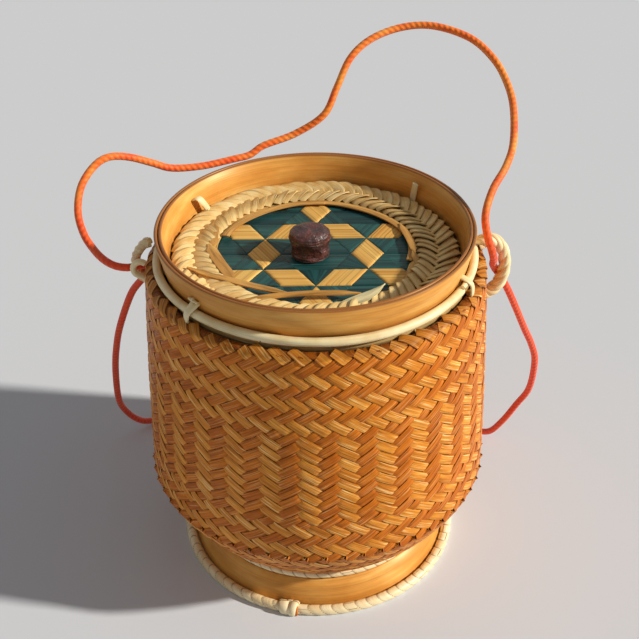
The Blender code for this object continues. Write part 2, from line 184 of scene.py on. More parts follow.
# %% [markdown]
# The light is low and warm from the right, as from a late sun, and a pale floor and an even sky fill
# the shade. The lamp is a little wider than the sun, so its shadows have slightly soft edges. The
# sky that the camera sees is a plain pale grey, and the sky that lights the basket is a dimmer and
# nearly neutral one.

# %% Light, floor and sky
KEY_AZIMUTH = math.radians(-9)
KEY_HEIGHT = math.radians(27)
KEY_STRENGTH = 4.3
KEY_SPREAD = math.radians(3)
KEY_COLOUR = (1.0, 0.93, 0.82)
FLOOR_HALF = 4.0
FLOOR_COLOUR = (0.707, 0.752, 0.829, 1.0)
FLOOR_ROUGHNESS = 0.9
BACKGROUND_GREY = 0.604
SKY_COLOUR = (0.97, 0.94, 0.91, 1.0)
SKY_FILL = 0.24

bpy.context.scene.view_settings.view_transform = "Standard"
key_data = bpy.data.lights.new("key", "SUN")
key_data.energy = KEY_STRENGTH
key_data.angle = KEY_SPREAD
key_data.color = KEY_COLOUR
key_from = Vector((math.cos(KEY_AZIMUTH), math.sin(KEY_AZIMUTH), math.tan(KEY_HEIGHT)))
put("key", key_data).rotation_euler = key_from.to_track_quat("Z", "Y").to_euler()

world = bpy.data.worlds.new("sky")
bpy.context.scene.world = world
sky = NodeTree(world)
sky_light = sky.nodes["Background"]
sky_light.inputs["Color"].default_value = SKY_COLOUR
sky_light.inputs["Strength"].default_value = SKY_FILL
sky_seen = sky.add("Background", {"Color": (BACKGROUND_GREY,) * 3 + (1.0,)})
rays = sky.add("LightPath", {}).node.outputs
looking = sky.add("Math", {0: rays["Is Camera Ray"], 1: rays["Is Glossy Ray"]}, operation="MAXIMUM")
looking = sky.add("Math", {0: looking, 1: rays["Is Transmission Ray"]}, operation="MAXIMUM")
sky_mix = sky.add("MixShader", {0: looking, 1: sky_light.outputs[0], 2: sky_seen})
sky.links.new(sky_mix, sky.nodes["World Output"].inputs[0])

floor_mesh = bpy.data.meshes.new("floor")
floor_signs = ((-1, -1), (1, -1), (1, 1), (-1, 1))
floor_mesh.from_pydata([(FLOOR_HALF * x, FLOOR_HALF * y, 0) for x, y in floor_signs], [], [(0, 1, 2, 3)])
floor_paint = Finish(
    "pale floor", Base_Color=FLOOR_COLOUR, Roughness=FLOOR_ROUGHNESS, Specular_IOR_Level=0.0
)
floor_mesh.materials.append(floor_paint.material)
put("floor", floor_mesh)
print("floor in m:", 2 * FLOOR_HALF)

# %% [markdown]
# Split bamboo shows long fine streaks and a tint of its own on each strip, and each strip is painted
# darker towards its edges as painted shade where it meets its neighbours. On the amber strips pale
# streaks are painted glints, and near the mouth brown patches are painted shade under the lid's ring.
# The same recipe, with other colours, serves the amber wall, the plain lining and the dyed mat, so
# it is a function.

# %% Split strips, in any colour
GOLDEN = (1.0, 0.84, 0.58, 1.0)
# The depth of the painted shade under the lid's ring, a brown band at the top of the wall.
MOUTH_SHADE_DEPTH = 0.0038
MOUTH_SHADE_START = 1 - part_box("mouth_hem")[1].z / MOUTH_SHADE_DEPTH
STRIP_PITCH = 0.0040
STRIP_SHARE = 0.95
STRIP_HALF = STRIP_PITCH * STRIP_SHARE / 2
STREAKS_ACROSS = 2600.0
STREAKS_ALONG = 70.0


def strip_finish(
    name, light, middle, deep, half=STRIP_HALF, gloss=0.42, lines=STREAKS_ACROSS,
    along=STREAKS_ALONG, cut=0.55, pale=0.0, mouth_shade=0.0,
):
    finish = Finish(name, Roughness=gloss, IOR=1.5, Specular_IOR_Level=0.24, Specular_Tint=GOLDEN)
    streaks = finish.noise(finish.fibre(along, lines, 91.0), 4.0)
    broad = finish.noise(finish.fibre(along * 0.85, 420.0, 47.0), 2.0)
    own = finish.noise(finish.fibre(0.0, 0.0, 613.0), 0.0)
    colour = finish.ramp(own, (0.32, middle), (0.68, light))
    colour = finish.patch(colour, deep, broad, (0.35, 0.0), (0.75, 0.8))
    colour = finish.shade(colour, 1.0, streaks, (0.34, cut), (0.52, 1.0))
    # Painted highlight: pale streaks stand for glints of the key light.
    if pale:
        colour = finish.patch(colour, (255, 226, 160), streaks, (0.57, 0.0), (0.65, pale))
    # Painted shade: each strip darker towards its edges, where it meets its neighbours.
    colour = finish.shade(colour, 0.8, finish.from_middle(half), (0.86, 1.0), (1.0, 0.35))
    # Painted shade of the lid's ring: brown patches near the top of the wall.
    if mouth_shade:
        up = finish.height(1 / MOUTH_SHADE_DEPTH, MOUTH_SHADE_START)
        patchy_mouth_shade = finish.sum("ADD", up, finish.sum("MULTIPLY", finish.noise(finish.place(190.0)), 1.2))
        colour = finish.patch(colour, (70, 30, 10), patchy_mouth_shade, (0.75, 0.0), (1.35, mouth_shade))
    rough = finish.sum("MULTIPLY_ADD", streaks, 0.25, gloss - 0.1)
    return finish.end(colour, streaks, 0.00012, rough)


# Painted light and shade: one amber in two copies, a lighter one for the down-right strips and a darker
# one for the up-right strips.
amber_painted_lit = strip_finish(
    "painted_sunlit amber strips", (248, 170, 68), (232, 146, 44), (188, 98, 14), cut=0.54, pale=0.7, mouth_shade=0.35
)
amber_painted_shade = strip_finish(
    "deep amber strips", (224, 130, 30), (206, 108, 18), (160, 74, 6), cut=0.56, pale=0.3, mouth_shade=0.6
)
plain_strips = strip_finish("plain bamboo strips", (226, 196, 138), (208, 172, 112), (176, 134, 76))
print("strip finishes:", amber_painted_lit.name, amber_painted_shade.name, plain_strips.name, sep=", ")

# %% [markdown]
# Bent wood is planed and rubbed: a satin strip, amber as the weave, with faint lines that run round
# the hoop, soft blotches, and a maroon stain on the lid's top edge. Rattan is the smooth cream skin
# of a cane, with fine lines along it and a few dark ticks where it cracked as it was bent.

# %% Bent wood and rattan
RIM_STAIN = 0.0009
WRAP_HALF = 0.0022


def bent_wood_finish():
    finish = Finish(
        "satin bent wood", Roughness=0.36, IOR=1.5, Specular_IOR_Level=0.35, Specular_Tint=GOLDEN
    )
    lines = finish.noise(finish.fibre(16.0, 1500.0, 5.0), 4.0)
    blotch = finish.noise(finish.fibre(42.0, 160.0, 3.0))
    colour = finish.ramp(blotch, (0.25, (204, 134, 54)), (0.52, (228, 164, 80)), (0.80, (246, 198, 114)))
    colour = finish.shade(colour, 0.55, lines, (0.28, 0.62), (0.60, 1.0))
    to_rim = finish.height(1 / RIM_STAIN, 1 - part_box("lid_hoop_outer")[1].z / RIM_STAIN)
    colour = finish.patch(colour, (124, 66, 38), to_rim, (0.45, 0.0), (0.95, 0.75))
    return finish.end(colour, lines, 0.00006, finish.sum("MULTIPLY_ADD", lines, 0.22, 0.26))


def rattan_finish(name, light, middle, tick_start=0.22, wrapped=False):
    finish = Finish(name, Roughness=0.40, IOR=1.5)
    lines = finish.noise(finish.fibre(30.0, 1800.0, 17.0))
    blotch = finish.noise(finish.fibre(110.0, 130.0, 29.0))
    colour = finish.ramp(blotch, (0.30, middle), (0.62, light))
    colour = finish.shade(colour, 0.45, lines, (0.28, 0.6), (0.55, 1.0))
    ticks = finish.noise(finish.fibre(900.0, 60.0, 11.0), 1.0)
    colour = finish.patch(colour, (128, 96, 62), ticks, (tick_start, 1.0), (tick_start + 0.04, 0.0))
    if wrapped:
        # Painted shade: each wrap darker towards its edges, where the wraps meet.
        wrap_edge_shade = finish.part(finish.fibre(1.0, 1.0 / WRAP_HALF, 1.0), 1)
        colour = finish.patch(colour, (112, 80, 48), wrap_edge_shade, (0.80, 0.0), (0.96, 0.75))
    return finish.end(colour, lines, 0.00008, finish.sum("MULTIPLY_ADD", blotch, 0.25, 0.28))


bent_wood = bent_wood_finish()
rattan = rattan_finish("cream rattan", (250, 236, 190), (230, 206, 152))
rattan_wrap = rattan_finish("rattan wrapping", (254, 240, 200), (236, 208, 156), 0.26, wrapped=True)
print("hoop and cane finishes:", bent_wood.name, rattan.name, rattan_wrap.name, sep=", ")

# %% [markdown]
# The knob is dark wood, rough and maroon, with small glossy specks. The cord is twisted from bright
# orange yarn, and the twist shows as fine slanting lines on it, with painted shade in their grooves.
# Its colour is painted lighter higher up, as painted sunlight: deeper red low down, orange in the arch.

# %% Knob wood and cord
def knob_finish():
    finish = Finish("maroon knob", Roughness=0.45, IOR=1.52, Coat_Weight=0.2, Coat_Roughness=0.25)
    broad = finish.noise(finish.place(260.0), 4.0)
    grit = finish.noise(finish.place(1500.0))
    colour = finish.ramp(broad, (0.32, (36, 16, 16)), (0.55, (72, 32, 28)), (0.78, (120, 58, 46)))
    colour = finish.patch(colour, (176, 140, 124), grit, (0.62, 0.0), (0.72, 0.7))
    rough = finish.ramp(grit, (0.40, 0.62), (0.66, 0.22))
    return finish.end(colour, finish.sum("ADD", broad, grit), 0.00035, rough)


def cord_finish():
    finish = Finish("orange cord", Roughness=0.55, IOR=1.45, Sheen_Weight=0.25)
    way = finish.fibre(1.0, 1.0, 1.0)
    slant = finish.sum("MULTIPLY", finish.part(way, 0), 2600.0)
    twist = finish.sum("ADD", slant, finish.sum("MULTIPLY", finish.part(way, 1), 1400.0))
    yarn = finish.sum("SINE", twist)
    cloud = finish.noise(finish.fibre(110.0, 300.0, 5.0))
    colour = finish.ramp(cloud, (0.30, (240, 88, 18)), (0.50, (255, 128, 30)), (0.72, (255, 168, 64)))
    # Painted light: deeper red low down and lighter orange up in the arch, as painted sunlight on the
    # arch.
    colour = finish.patch(colour, (238, 58, 16), finish.height(10.0, -1.0), (0.32, 0.85), (0.62, 0.0))
    # Painted shade: the grooves of the twist are darker.
    groove = finish.sum("MULTIPLY_ADD", yarn, 0.5, 0.5)
    colour = finish.shade(colour, 0.3, groove, (0.0, 0.72), (0.5, 1.0))
    return finish.end(colour, yarn, 0.00007)


knob_wood = knob_finish()
orange_cord = cord_finish()
print("knob and cord finishes:", knob_wood.name, orange_cord.name, sep=", ")

# %% [markdown]
# Most pieces are one cross-section carried along a line: a strip, a rod, a hoop or a cord. The sweep
# below takes the line with its up and side directions, joins the cross-sections with faces, and
# notes the fibre for the finish. A pile gathers many such sweeps into one object.

# %% The sweep, and the pile it adds to
class Pile:
    """Swept solids gathered for one object."""

    def __init__(self):
        self.points = []
        self.fibres = []
        self.faces = []
        self.finishes = []
        self.count = 0

    def add(self, points, fibres, faces, finish=0):
        self.points.append(points.reshape(-1, 3))
        self.fibres.append(fibres.reshape(-1, 3))
        self.faces.extend([[v + self.count for v in face] for face in faces])
        self.finishes.extend([finish] * len(faces))
        self.count += len(self.points[-1])

    def make(self, name, body, materials, slot, node=None, sharp=50.0):
        mesh = bpy.data.meshes.new(name)
        points = np.concatenate(self.points)
        mesh.from_pydata(points.tolist(), [], self.faces)
        mesh.attributes.new("fibre", "FLOAT_VECTOR", "POINT")
        mesh.attributes["fibre"].data.foreach_set("vector", np.concatenate(self.fibres).ravel())
        mesh.polygons.foreach_set("material_index", self.finishes)
        for material in materials:
            mesh.materials.append(material)
        shell = bmesh.new()
        shell.from_mesh(mesh)
        bmesh.ops.recalc_face_normals(shell, faces=shell.faces)
        shell.to_mesh(mesh)
        shell.free()
        mesh.shade_smooth()
        mesh.set_sharp_from_angle(angle=math.radians(sharp))
        obj = put(name, mesh)
        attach(obj, body)
        if node:
            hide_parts(node)
        print(name, "points:", len(points))
        return obj


def ring_faces(rings, sides, closed=True):
    """Faces between neighbouring rings of points, and from the last ring to the first if closed."""
    index = np.arange(rings * sides).reshape(rings, sides)
    start = index if closed else index[:-1]
    after = np.roll(index, -1, axis=0) if closed else index[1:]
    quads = np.stack([start, after, np.roll(after, -1, axis=1), np.roll(start, -1, axis=1)], axis=-1)
    return quads.reshape(-1, 4).tolist()


def sweep(pile, line, ups, sides, section, tint=0.5, finish=0):
    """Carries a closed cross-section of (across, up) points along a line."""
    section = np.broadcast_to(section, (len(line),) + section.shape[-2:])
    points = line[:, None] + section[..., :1] * sides[:, None] + section[..., 1:] * ups[:, None]
    steps = np.linalg.norm(np.diff(line, axis=0), axis=1)
    along = np.concatenate([[0.0], np.cumsum(steps)])
    edges = np.linalg.norm(np.diff(section[:1], axis=1), axis=2)
    girth = np.concatenate([[0.0], np.cumsum(edges)])
    flat = np.ptp(section[0, :, 1]) < 0.5 * np.ptp(section[0, :, 0])
    across = section[..., 0] if flat else np.broadcast_to(girth, section.shape[:2])
    ways = np.broadcast_to(along[:, None], section.shape[:2])
    fibres = np.stack([ways, across, np.full_like(ways, tint)], axis=-1)
    rings, sides_count = section.shape[:2]
    first = list(range(sides_count))
    last = list(range((rings - 1) * sides_count, rings * sides_count))
    faces = ring_faces(rings, sides_count, closed=False) + [first, last]
    pile.add(points, fibres, faces, finish)


def unit(vectors):
    return vectors / np.linalg.norm(vectors, axis=-1, keepdims=True)


def directions(line):
    """The unit tangent at each point of a line."""
    return unit(np.gradient(line, axis=0))


def sweep_level(pile, line, section, tint=0.5, facing=1.0, finish=0):
    """A sweep whose cross-sections stand straight up, or hang straight down if facing is -1."""
    ups = np.tile([0.0, 0.0, facing], (len(line), 1))
    sweep(pile, line, ups, unit(np.cross(directions(line), ups)), section, tint, finish)


def round_section(radius, sides=12):
    turns = np.arange(sides) * 2 * math.pi / sides
    return radius * np.stack([np.cos(turns), np.sin(turns)], axis=-1)


def strip_section(width, thick, crown):
    """A strip with a crowned top face and a flat back, about its own middle."""
    half = width / 2
    top = thick / 2
    crowned = [(-half, top - crown), (-half * 0.55, top), (half * 0.55, top), (half, top - crown)]
    return np.array(crowned + [(half, -top), (-half, -top)])


def scaled(section, wide, high):
    """The cross-section at each point of a line, from its widths and heights there."""
    return section * np.stack(np.broadcast_arrays(wide, high), axis=-1)[:, None]


def polar(radius, turn, height):
    """Points at distances from the axis, angles and heights."""
    places = (radius * np.cos(turn), radius * np.sin(turn), height)
    return np.stack(np.broadcast_arrays(*places), axis=-1)


def carried_frame(line, first_up):
    """Ups and sides that follow a line without twisting about it."""
    ways = directions(line)
    up = np.array(first_up, float)
    ups = []
    for way in ways:
        up = up - way * np.dot(up, way)
        up = up / np.linalg.norm(up)
        ups.append(up)
    ups = np.array(ups)
    return ups, np.cross(ways, ups)


def smooth_line(knots, step, steer=False):
    """Points a step apart on a smooth curve through the knots. Steer: the end knots only steer it."""
    knots = np.array(knots, float)
    if not steer:
        knots = np.concatenate([[2 * knots[0] - knots[1]], knots, [2 * knots[-1] - knots[-2]]])
    t = np.linspace(0, 1, 24, endpoint=False)[:, None]
    fine = []
    for a, b, c, d in zip(knots, knots[1:], knots[2:], knots[3:]):
        bend = (2 * a - 5 * b + 4 * c - d) * t**2 + (3 * b - a - 3 * c + d) * t**3
        fine.append((2 * b + (c - a) * t + bend) / 2)
    fine = np.concatenate(fine + [knots[-2:-1]])
    length = np.concatenate([[0.0], np.cumsum(np.linalg.norm(np.diff(fine, axis=0), axis=1))])
    goals = np.linspace(0, length[-1], max(2, round(length[-1] / step) + 1))
    return np.stack([np.interp(goals, length, fine[:, axis]) for axis in range(3)], axis=-1)


# %% [markdown]
# The cord is one closed loop through both ears. Above the ears it stands in the arch that the
# picture shows, and below them it hangs behind the basket and lies on the floor there. The two
# stretches meet inside the ears. The knots of both routes are listed, and a smooth curve runs
# through them.

# %% The cord
CORD_THICK = 0.0030
CORD_STEP = 0.0022
GAP = 0.0003
CARRY_ROUTE = (
    (0.0690, 0.0067, 0.1270),
    (0.0685, 0.0032, 0.1310),
    (0.0670, 0.0004, 0.1364),
    (0.0648, 0.0010, 0.1428),
    (0.0642, 0.0058, 0.1493),
    (0.0680, 0.0155, 0.1550),
    (0.0740, 0.0255, 0.1595),
    (0.0781, 0.0370, 0.1644),
    (0.0797, 0.0534, 0.1727),
    (0.0776, 0.0640, 0.1794),
    (0.0729, 0.0707, 0.1858),
    (0.0642, 0.0783, 0.1915),
    (0.0500, 0.0845, 0.1945),
    (0.0369, 0.0857, 0.1938),
    (0.0240, 0.0819, 0.1904),
    (0.0150, 0.0770, 0.1840),
    (0.0092, 0.0710, 0.1735),
    (0.0038, 0.0662, 0.1636),
    (-0.0083, 0.0640, 0.1562),
    (-0.0215, 0.0600, 0.1528),
    (-0.0271, 0.0576, 0.1498),
    (-0.0345, 0.0550, 0.1490),
    (-0.0467, 0.0507, 0.1482),
    (-0.0586, 0.0468, 0.1493),
    (-0.0658, 0.0439, 0.1531),
    (-0.0743, 0.0400, 0.1577),
    (-0.0816, 0.0358, 0.1598),
    (-0.0870, 0.0318, 0.1577),
    (-0.0916, 0.0257, 0.1521),
    (-0.0927, 0.0192, 0.1445),
    (-0.0902, 0.0130, 0.1382),
    (-0.0860, 0.0077, 0.1344),
    (-0.0815, 0.0027, 0.1327),
    (-0.0767, -0.0004, 0.1317),
    (-0.0719, -0.0003, 0.1308),
    (-0.0682, 0.0030, 0.1296),
    (-0.0668, 0.0077, 0.1270),
)
SLING_ROUTE = (
    (-0.0668, 0.0077, 0.1270),
    (-0.0671, 0.0118, 0.1228),
    (-0.0695, 0.0146, 0.1168),
    (-0.0755, 0.0175, 0.1076),
    (-0.0826, 0.0232, 0.0893),
    (-0.0870, 0.0292, 0.0742),
    (-0.0910, 0.0370, 0.0550),
    (-0.0938, 0.0460, 0.0310),
    (-0.0930, 0.0515, 0.0190),
    (-0.0888, 0.0558, 0.0095),
    (-0.0832, 0.0614, 0.0034),
    (-0.0740, 0.0700, 0.0017),
    (-0.0600, 0.0790, 0.0017),
    (-0.0380, 0.0860, 0.0017),
    (-0.0100, 0.0885, 0.0017),
    (0.0200, 0.0865, 0.0017),
    (0.0450, 0.0790, 0.0017),
    (0.0640, 0.0670, 0.0017),
    (0.0752, 0.0560, 0.0018),
    (0.0826, 0.0484, 0.0056),
    (0.0882, 0.0455, 0.0145),
    (0.0937, 0.0440, 0.0260),
    (0.0979, 0.0408, 0.0382),
    (0.0976, 0.0357, 0.0575),
    (0.0942, 0.0322, 0.0696),
    (0.0891, 0.0273, 0.0816),
    (0.0831, 0.0212, 0.0964),
    (0.0775, 0.0160, 0.1095),
    (0.0728, 0.0126, 0.1186),
    (0.0703, 0.0100, 0.1232),
    (0.0690, 0.0067, 0.1270),
)


def cord_line(route, other):
    """One stretch, steered at its ends by the other stretch."""
    line = smooth_line((other[-2], *route, other[1]), CORD_STEP, steer=True)
    ways = directions(line)
    line[0] += ways[0] * GAP / 2
    line[-1] -= ways[-1] * GAP / 2
    return line


def lay_cord(name, route, other, node):
    line = cord_line(route, other)
    ups, sides = carried_frame(line, (0.0, 1.0, 0.3))
    pile = Pile()
    sweep(pile, line, ups, sides, round_section(CORD_THICK / 2, 14))
    obj = pile.make(name, "basket", [orange_cord], "orange_cord", node, sharp=70)
    length = float(np.linalg.norm(np.diff(line, axis=0), axis=1).sum())
    print(name, "length in mm:", round(1000 * length))


lay_cord("carrying_cord", CARRY_ROUTE, SLING_ROUTE, "cord_carry")
lay_cord("hanging_cord", SLING_ROUTE, CARRY_ROUTE, "cord_sling")

# %% [markdown]
# The wall is a twill: strips run down to the right and up to the right, each over two and under
# two. Near the mouth and near the foot the floats line up in rows, and between them in columns. A
# picture of that pattern would look flat, so every strip here is a real solid that climbs over and
# dives under its neighbours. A strip is found by its number, and its height by a second number that
# counts crossings up the wall.

# %% The shape of the wall
STRIPS = 60
ROW_PITCH = 0.0048
ROW_RADIUS = 0.067
ROW_START_Z = 0.1235
COLUMN_START = math.radians(-93.98)
SHOULDER_POWER = 1.25
NECK_POWER = 1.4
BELLY_RISE = 0.0275
FOLD_REACH = 0.0038
HEM_ROUNDING = 0.0009
BASE_LAP = 0.003
FOOT_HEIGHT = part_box("outer_weave")[0].z
BELLY_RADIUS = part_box("outer_weave")[1].x
WALL_TOP_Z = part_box("outer_weave")[1].z
MOUTH_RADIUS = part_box("mouth_hem")[1].x - GAP
LASHING_HALF = (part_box("foot_top_lashing")[1].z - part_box("foot_top_lashing")[0].z) / 2
BASE_EDGE_INSET = 0.0005
BASE_EDGE_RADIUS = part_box("foot_top_lashing")[1].x - LASHING_HALF - BASE_EDGE_INSET
HEM_TOP_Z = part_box("mouth_hem")[1].z


def wall_outline(inset, fold):
    """(radius, height) points down the wall, with an optional fold over the mouth."""
    belly_z = FOOT_HEIGHT + BELLY_RISE
    rise = np.linspace(1, 0, 60)
    neck_r = BELLY_RADIUS - (BELLY_RADIUS - MOUTH_RADIUS) * rise**NECK_POWER
    neck_z = belly_z + (WALL_TOP_Z - belly_z) * rise
    drop = np.sin(np.linspace(0, math.pi / 2, 80)[1:]) ** (2 / SHOULDER_POWER)
    swell = np.clip(1 - drop**SHOULDER_POWER, 0, 1) ** (1 / SHOULDER_POWER)
    belly_r = BASE_EDGE_RADIUS + (BELLY_RADIUS - BASE_EDGE_RADIUS) * swell
    radius = np.concatenate([neck_r, belly_r])
    height = np.concatenate([neck_z, belly_z - BELLY_RISE * drop])
    run_r = np.gradient(radius)
    run_z = np.gradient(height)
    size = np.hypot(run_r, run_z)
    radius = radius + inset * run_z / size
    height = height - inset * run_r / size
    if fold:
        turn = np.linspace(0, math.pi / 2, 16)[:-1]
        fold_z = height[0] + (HEM_TOP_Z - HEM_ROUNDING - WALL_TOP_Z) * np.cos(turn)
        radius = np.concatenate([radius[0] - FOLD_REACH * (1 - np.sin(turn)), radius])
        height = np.concatenate([fold_z, height])
    base_r = np.linspace(radius[-1], radius[-1] - BASE_LAP, 6)[1:]
    return np.concatenate([radius, base_r]), np.concatenate([height, np.full(5, height[-1])])


def row_at(radius):
    """The rows keep their count round the wall, so they are lower where it is wider."""
    return ROW_PITCH * (ROW_RADIUS / radius) ** 0.5


class Wall:
    """The middle of a woven layer, looked up by the count of crossings up the wall."""

    def __init__(self, inset, fold=False):
        radius, height = (values[::-1] for values in wall_outline(inset, fold))
        steps = np.hypot(np.diff(radius), np.diff(height))
        rows = steps / row_at((radius[1:] + radius[:-1]) / 2)
        count = np.concatenate([[0.0], np.cumsum(rows)])
        straight = height < WALL_TOP_Z + inset
        self.count = count - np.interp(ROW_START_Z, height[straight], count[straight])
        self.radius = radius
        self.height = height
        size = np.hypot(np.gradient(radius), np.gradient(height))
        self.out_r = np.gradient(height) / size
        self.out_z = -np.gradient(radius) / size
        pitch = 2 * math.pi * radius / STRIPS
        self.pitch = pitch * row_at(radius) / np.hypot(pitch, row_at(radius))
        self.low = float(self.count[0])
        self.high = float(self.count[-1])

    def look_up(self, count, values):
        return np.interp(count, self.count, values)

    def at(self, turn, count):
        """Points and outward directions at angles and crossing counts."""
        points = polar(self.look_up(count, self.radius), turn, self.look_up(count, self.height))
        outs = polar(self.look_up(count, self.out_r), turn, self.look_up(count, self.out_z))
        return points, unit(outs)


OUTER_INSET = 0.0007
INNER_INSET = 0.00245
outer_wall = Wall(OUTER_INSET, fold=True)
inner_wall = Wall(INNER_INSET)
print("crossings up the wall:", round(outer_wall.high - outer_wall.low))

# %% [markdown]
# A strip has a number, and so has each strip that it crosses. The count of crossings decides which
# of the two is on top, and the strip's line swings out and in to match. The base inside the foot is
# a square twill of the same strips, cut to a disc.

# %% The strips of the wall
STRIP_THICK = 0.00045
STRIP_CROWN = 0.00016
STRIP_SWING = 0.00028
STRIP_WANDER = 0.0001
CLIMB_START = 0.13
CUT_BACK = 0.55
COLUMNS_BELOW_Z = 0.1010
COLUMNS_ABOVE_Z = 0.0625
FINE_STEPS = np.array([-0.5, -0.34, -0.17, 0.0, 0.17, 0.34])
COARSE_STEPS = np.array([-0.5, -0.17, 0.17])
DISC_TRIM = 0.0008
OUTER_TRIM = 0.0004
INNER_TRIM = 0.0025


def two_and_two(phase):
    """1 for two crossings and -1 for the next two."""
    return np.where(np.mod(phase, 4) < 2, 1.0, -1.0)


def over_or_under(strip, crossed, wall):
    """1 where a down-right strip passes over an up-right one, and -1 where it passes under."""
    height = wall.look_up((strip - crossed) / 2, wall.height)
    columns = (height < COLUMNS_BELOW_Z) & (height > COLUMNS_ABOVE_Z)
    return two_and_two(np.where(columns, strip + crossed, strip - crossed))


def swing_at(crossing, sign_at):
    """How far a strip stands out, from -1 to 1, along its crossings."""
    near = np.floor(crossing + 0.5)
    offset = crossing - near
    here = sign_at(near)
    there = sign_at(near + np.sign(offset))
    climb = np.clip((np.abs(offset) - CLIMB_START) / (0.5 - CLIMB_START), 0, 1)
    middle = (here + there) / 2
    return middle + (here - middle) * np.cos(climb * math.pi / 2)


def crossings(start, end, steps):
    """The places along a strip, some at each crossing from the start to the end."""
    return (np.arange(math.floor(start), math.ceil(end) + 1)[:, None] + steps[None]).ravel()


def weave_strip(pile, wall, number, way, high, steps, finish):
    """One strip. Way is 1 for a down-right strip and -1 for an up-right one."""
    ends = sorted((number - way * 2 * wall.low, number - way * 2 * high))
    crossing = crossings(*ends, steps)
    count = way * (number - crossing) / 2
    keep = (count >= wall.low) & (count <= high)
    crossing = crossing[keep]
    count = count[keep]
    if way > 0:
        swing = swing_at(crossing, lambda crossed: over_or_under(number, crossed, wall))
    else:
        swing = -swing_at(crossing, lambda crossed: over_or_under(crossed, number, wall))
    line, ups = wall.at(COLUMN_START + (number - way * count) * 2 * math.pi / STRIPS, count)
    wander = STRIP_WANDER * np.sin(crossing * 0.9 + chance.uniform(0, 6.3))
    sides = unit(np.cross(directions(line), ups))
    line = line + ups * (STRIP_SWING * swing + wander)[:, None]
    width = wall.look_up(count, wall.pitch) * STRIP_SHARE * chance.uniform(0.95, 1.02)
    section = scaled(strip_section(1.0, 1.0, 0.0), width, STRIP_THICK)
    section[:, (0, 3), 1] -= STRIP_CROWN
    sweep(pile, line, ups, sides, section, chance.uniform(0, 1), finish)


def weave_wall(pile, wall, steps, short_right, short_left):
    """All strips of a wall, each way stopped short of its top by a count of crossings."""
    for number in range(STRIPS):
        cut_back = CUT_BACK * chance.uniform(0, 1) ** 2
        high = wall.high - short_right - cut_back
        weave_strip(pile, wall, number, 1, high, steps, 0)
        weave_strip(pile, wall, number, -1, wall.high - short_left, steps, 1)


def flat_mat(pile, radius, height, facing, steps=FINE_STEPS):
    """A square twill of strips, cut to a disc."""
    rows = int(radius / STRIP_PITCH)
    section = strip_section(STRIP_PITCH * STRIP_SHARE, STRIP_THICK, STRIP_CROWN)
    for way in (-1.0, 1.0):
        for number in range(-rows, rows + 1):
            offset = number * STRIP_PITCH
            half = math.sqrt(max(radius**2 - offset**2, 0.0)) - DISC_TRIM
            if half < STRIP_PITCH:
                continue
            span = math.ceil(half / STRIP_PITCH)
            crossing = crossings(-span, span, steps)
            crossing = crossing[np.abs(crossing * STRIP_PITCH) < half]
            swing = swing_at(crossing, lambda crossed: way * two_and_two(way * (crossed - number)))
            run = crossing * STRIP_PITCH
            fixed = np.full_like(run, offset)
            across, ahead = (run, fixed) if way < 0 else (fixed, run)
            line = np.stack([across, ahead, height + facing * STRIP_SWING * swing], axis=-1)
            sweep_level(pile, line, section, chance.uniform(0, 1), facing)


chance = np.random.RandomState(7)
weave = Pile()
weave_wall(weave, outer_wall, FINE_STEPS, short_right=0.0, short_left=0.75)
flat_mat(weave, BASE_EDGE_RADIUS - OUTER_TRIM, FOOT_HEIGHT + OUTER_INSET, -1.0)
# Painted light and shade: the down-right strips take the lit amber copy and the up-right strips the
# shaded one.
weave.make("outer_weave_strips", "basket", [amber_painted_lit, amber_painted_shade], "amber_bamboo", "outer_weave")

inner = Pile()
weave_wall(inner, inner_wall, COARSE_STEPS, short_right=0.1, short_left=0.1)
flat_mat(inner, BASE_EDGE_RADIUS - INNER_TRIM, FOOT_HEIGHT + INNER_TRIM, 1.0, COARSE_STEPS)
inner.make("inner_weave_strips", "basket", [plain_strips, plain_strips], "plain_bamboo", "inner_weave")

# %% [markdown]
# Under the fold of the strips lies a core that holds the mouth's shape. It is a thin wrapped hoop,
# and it shows as the dark ground of the small openings between the folded strips. The foot's edge
# and the lashing above it are wrapped hoops too. In front the wrapping of the foot is tied off, and
# a few slanting turns there make the knot.

# %% Wrapped hoops: the core of the mouth, and the foot's edge
CORE_INSET = 0.0029
CORE_RISE = 0.0013
CORE_HALF_WIDE = 0.0020
CORE_HALF_HIGH = 0.0010
BINDING_HALF = 0.0021
BINDING_SUNK = 0.0005
BINDING_Z = BINDING_HALF - BINDING_SUNK
BINDING_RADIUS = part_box("foot_binding")[1].x - BINDING_HALF
SUNK_IN = 0.0001
KNOT_TURNS = (
    (-103.4, 1.1, 0.055, 0.0040, 0.0010, 0),
    (-101.0, 1.1, -0.040, 0.0034, 0.0013, 0),
    (-99.0, 0.9, 0.004, 0.0011, 0.0009, 1),
)


def wrapped_hoop(pile, radius, height, half_wide, half_high, wraps, lean, groove, cut=None):
    """A round hoop wound with flat strip: the wraps are a relief that leans round the hoop."""
    around = 12 * wraps
    sides = 18
    turn = np.arange(around)[:, None] * 2 * math.pi / around
    tilt = np.arange(sides)[None] * 2 * math.pi / sides
    uneven = chance.uniform(-0.12, 0.12, wraps)
    phase = (turn * wraps / (2 * math.pi) + lean * np.sin(tilt) / 2) % wraps
    wrap = phase.astype(int) % wraps
    from_middle = np.abs(2 * (phase - np.floor(phase)) - 1)
    press = 1 - groove * from_middle**5 + 0.25 * groove * uneven[wrap]
    up = height + half_high * press * np.sin(tilt)
    if cut is not None:
        up = np.maximum(up, cut)
    points = polar(radius + half_wide * press * np.cos(tilt), turn, up)
    fibres = [tilt * half_wide + 0 * turn, from_middle * WRAP_HALF, uneven[wrap] * 4 + 0.5]
    pile.add(points, np.stack(fibres, axis=-1), ring_faces(around, sides))


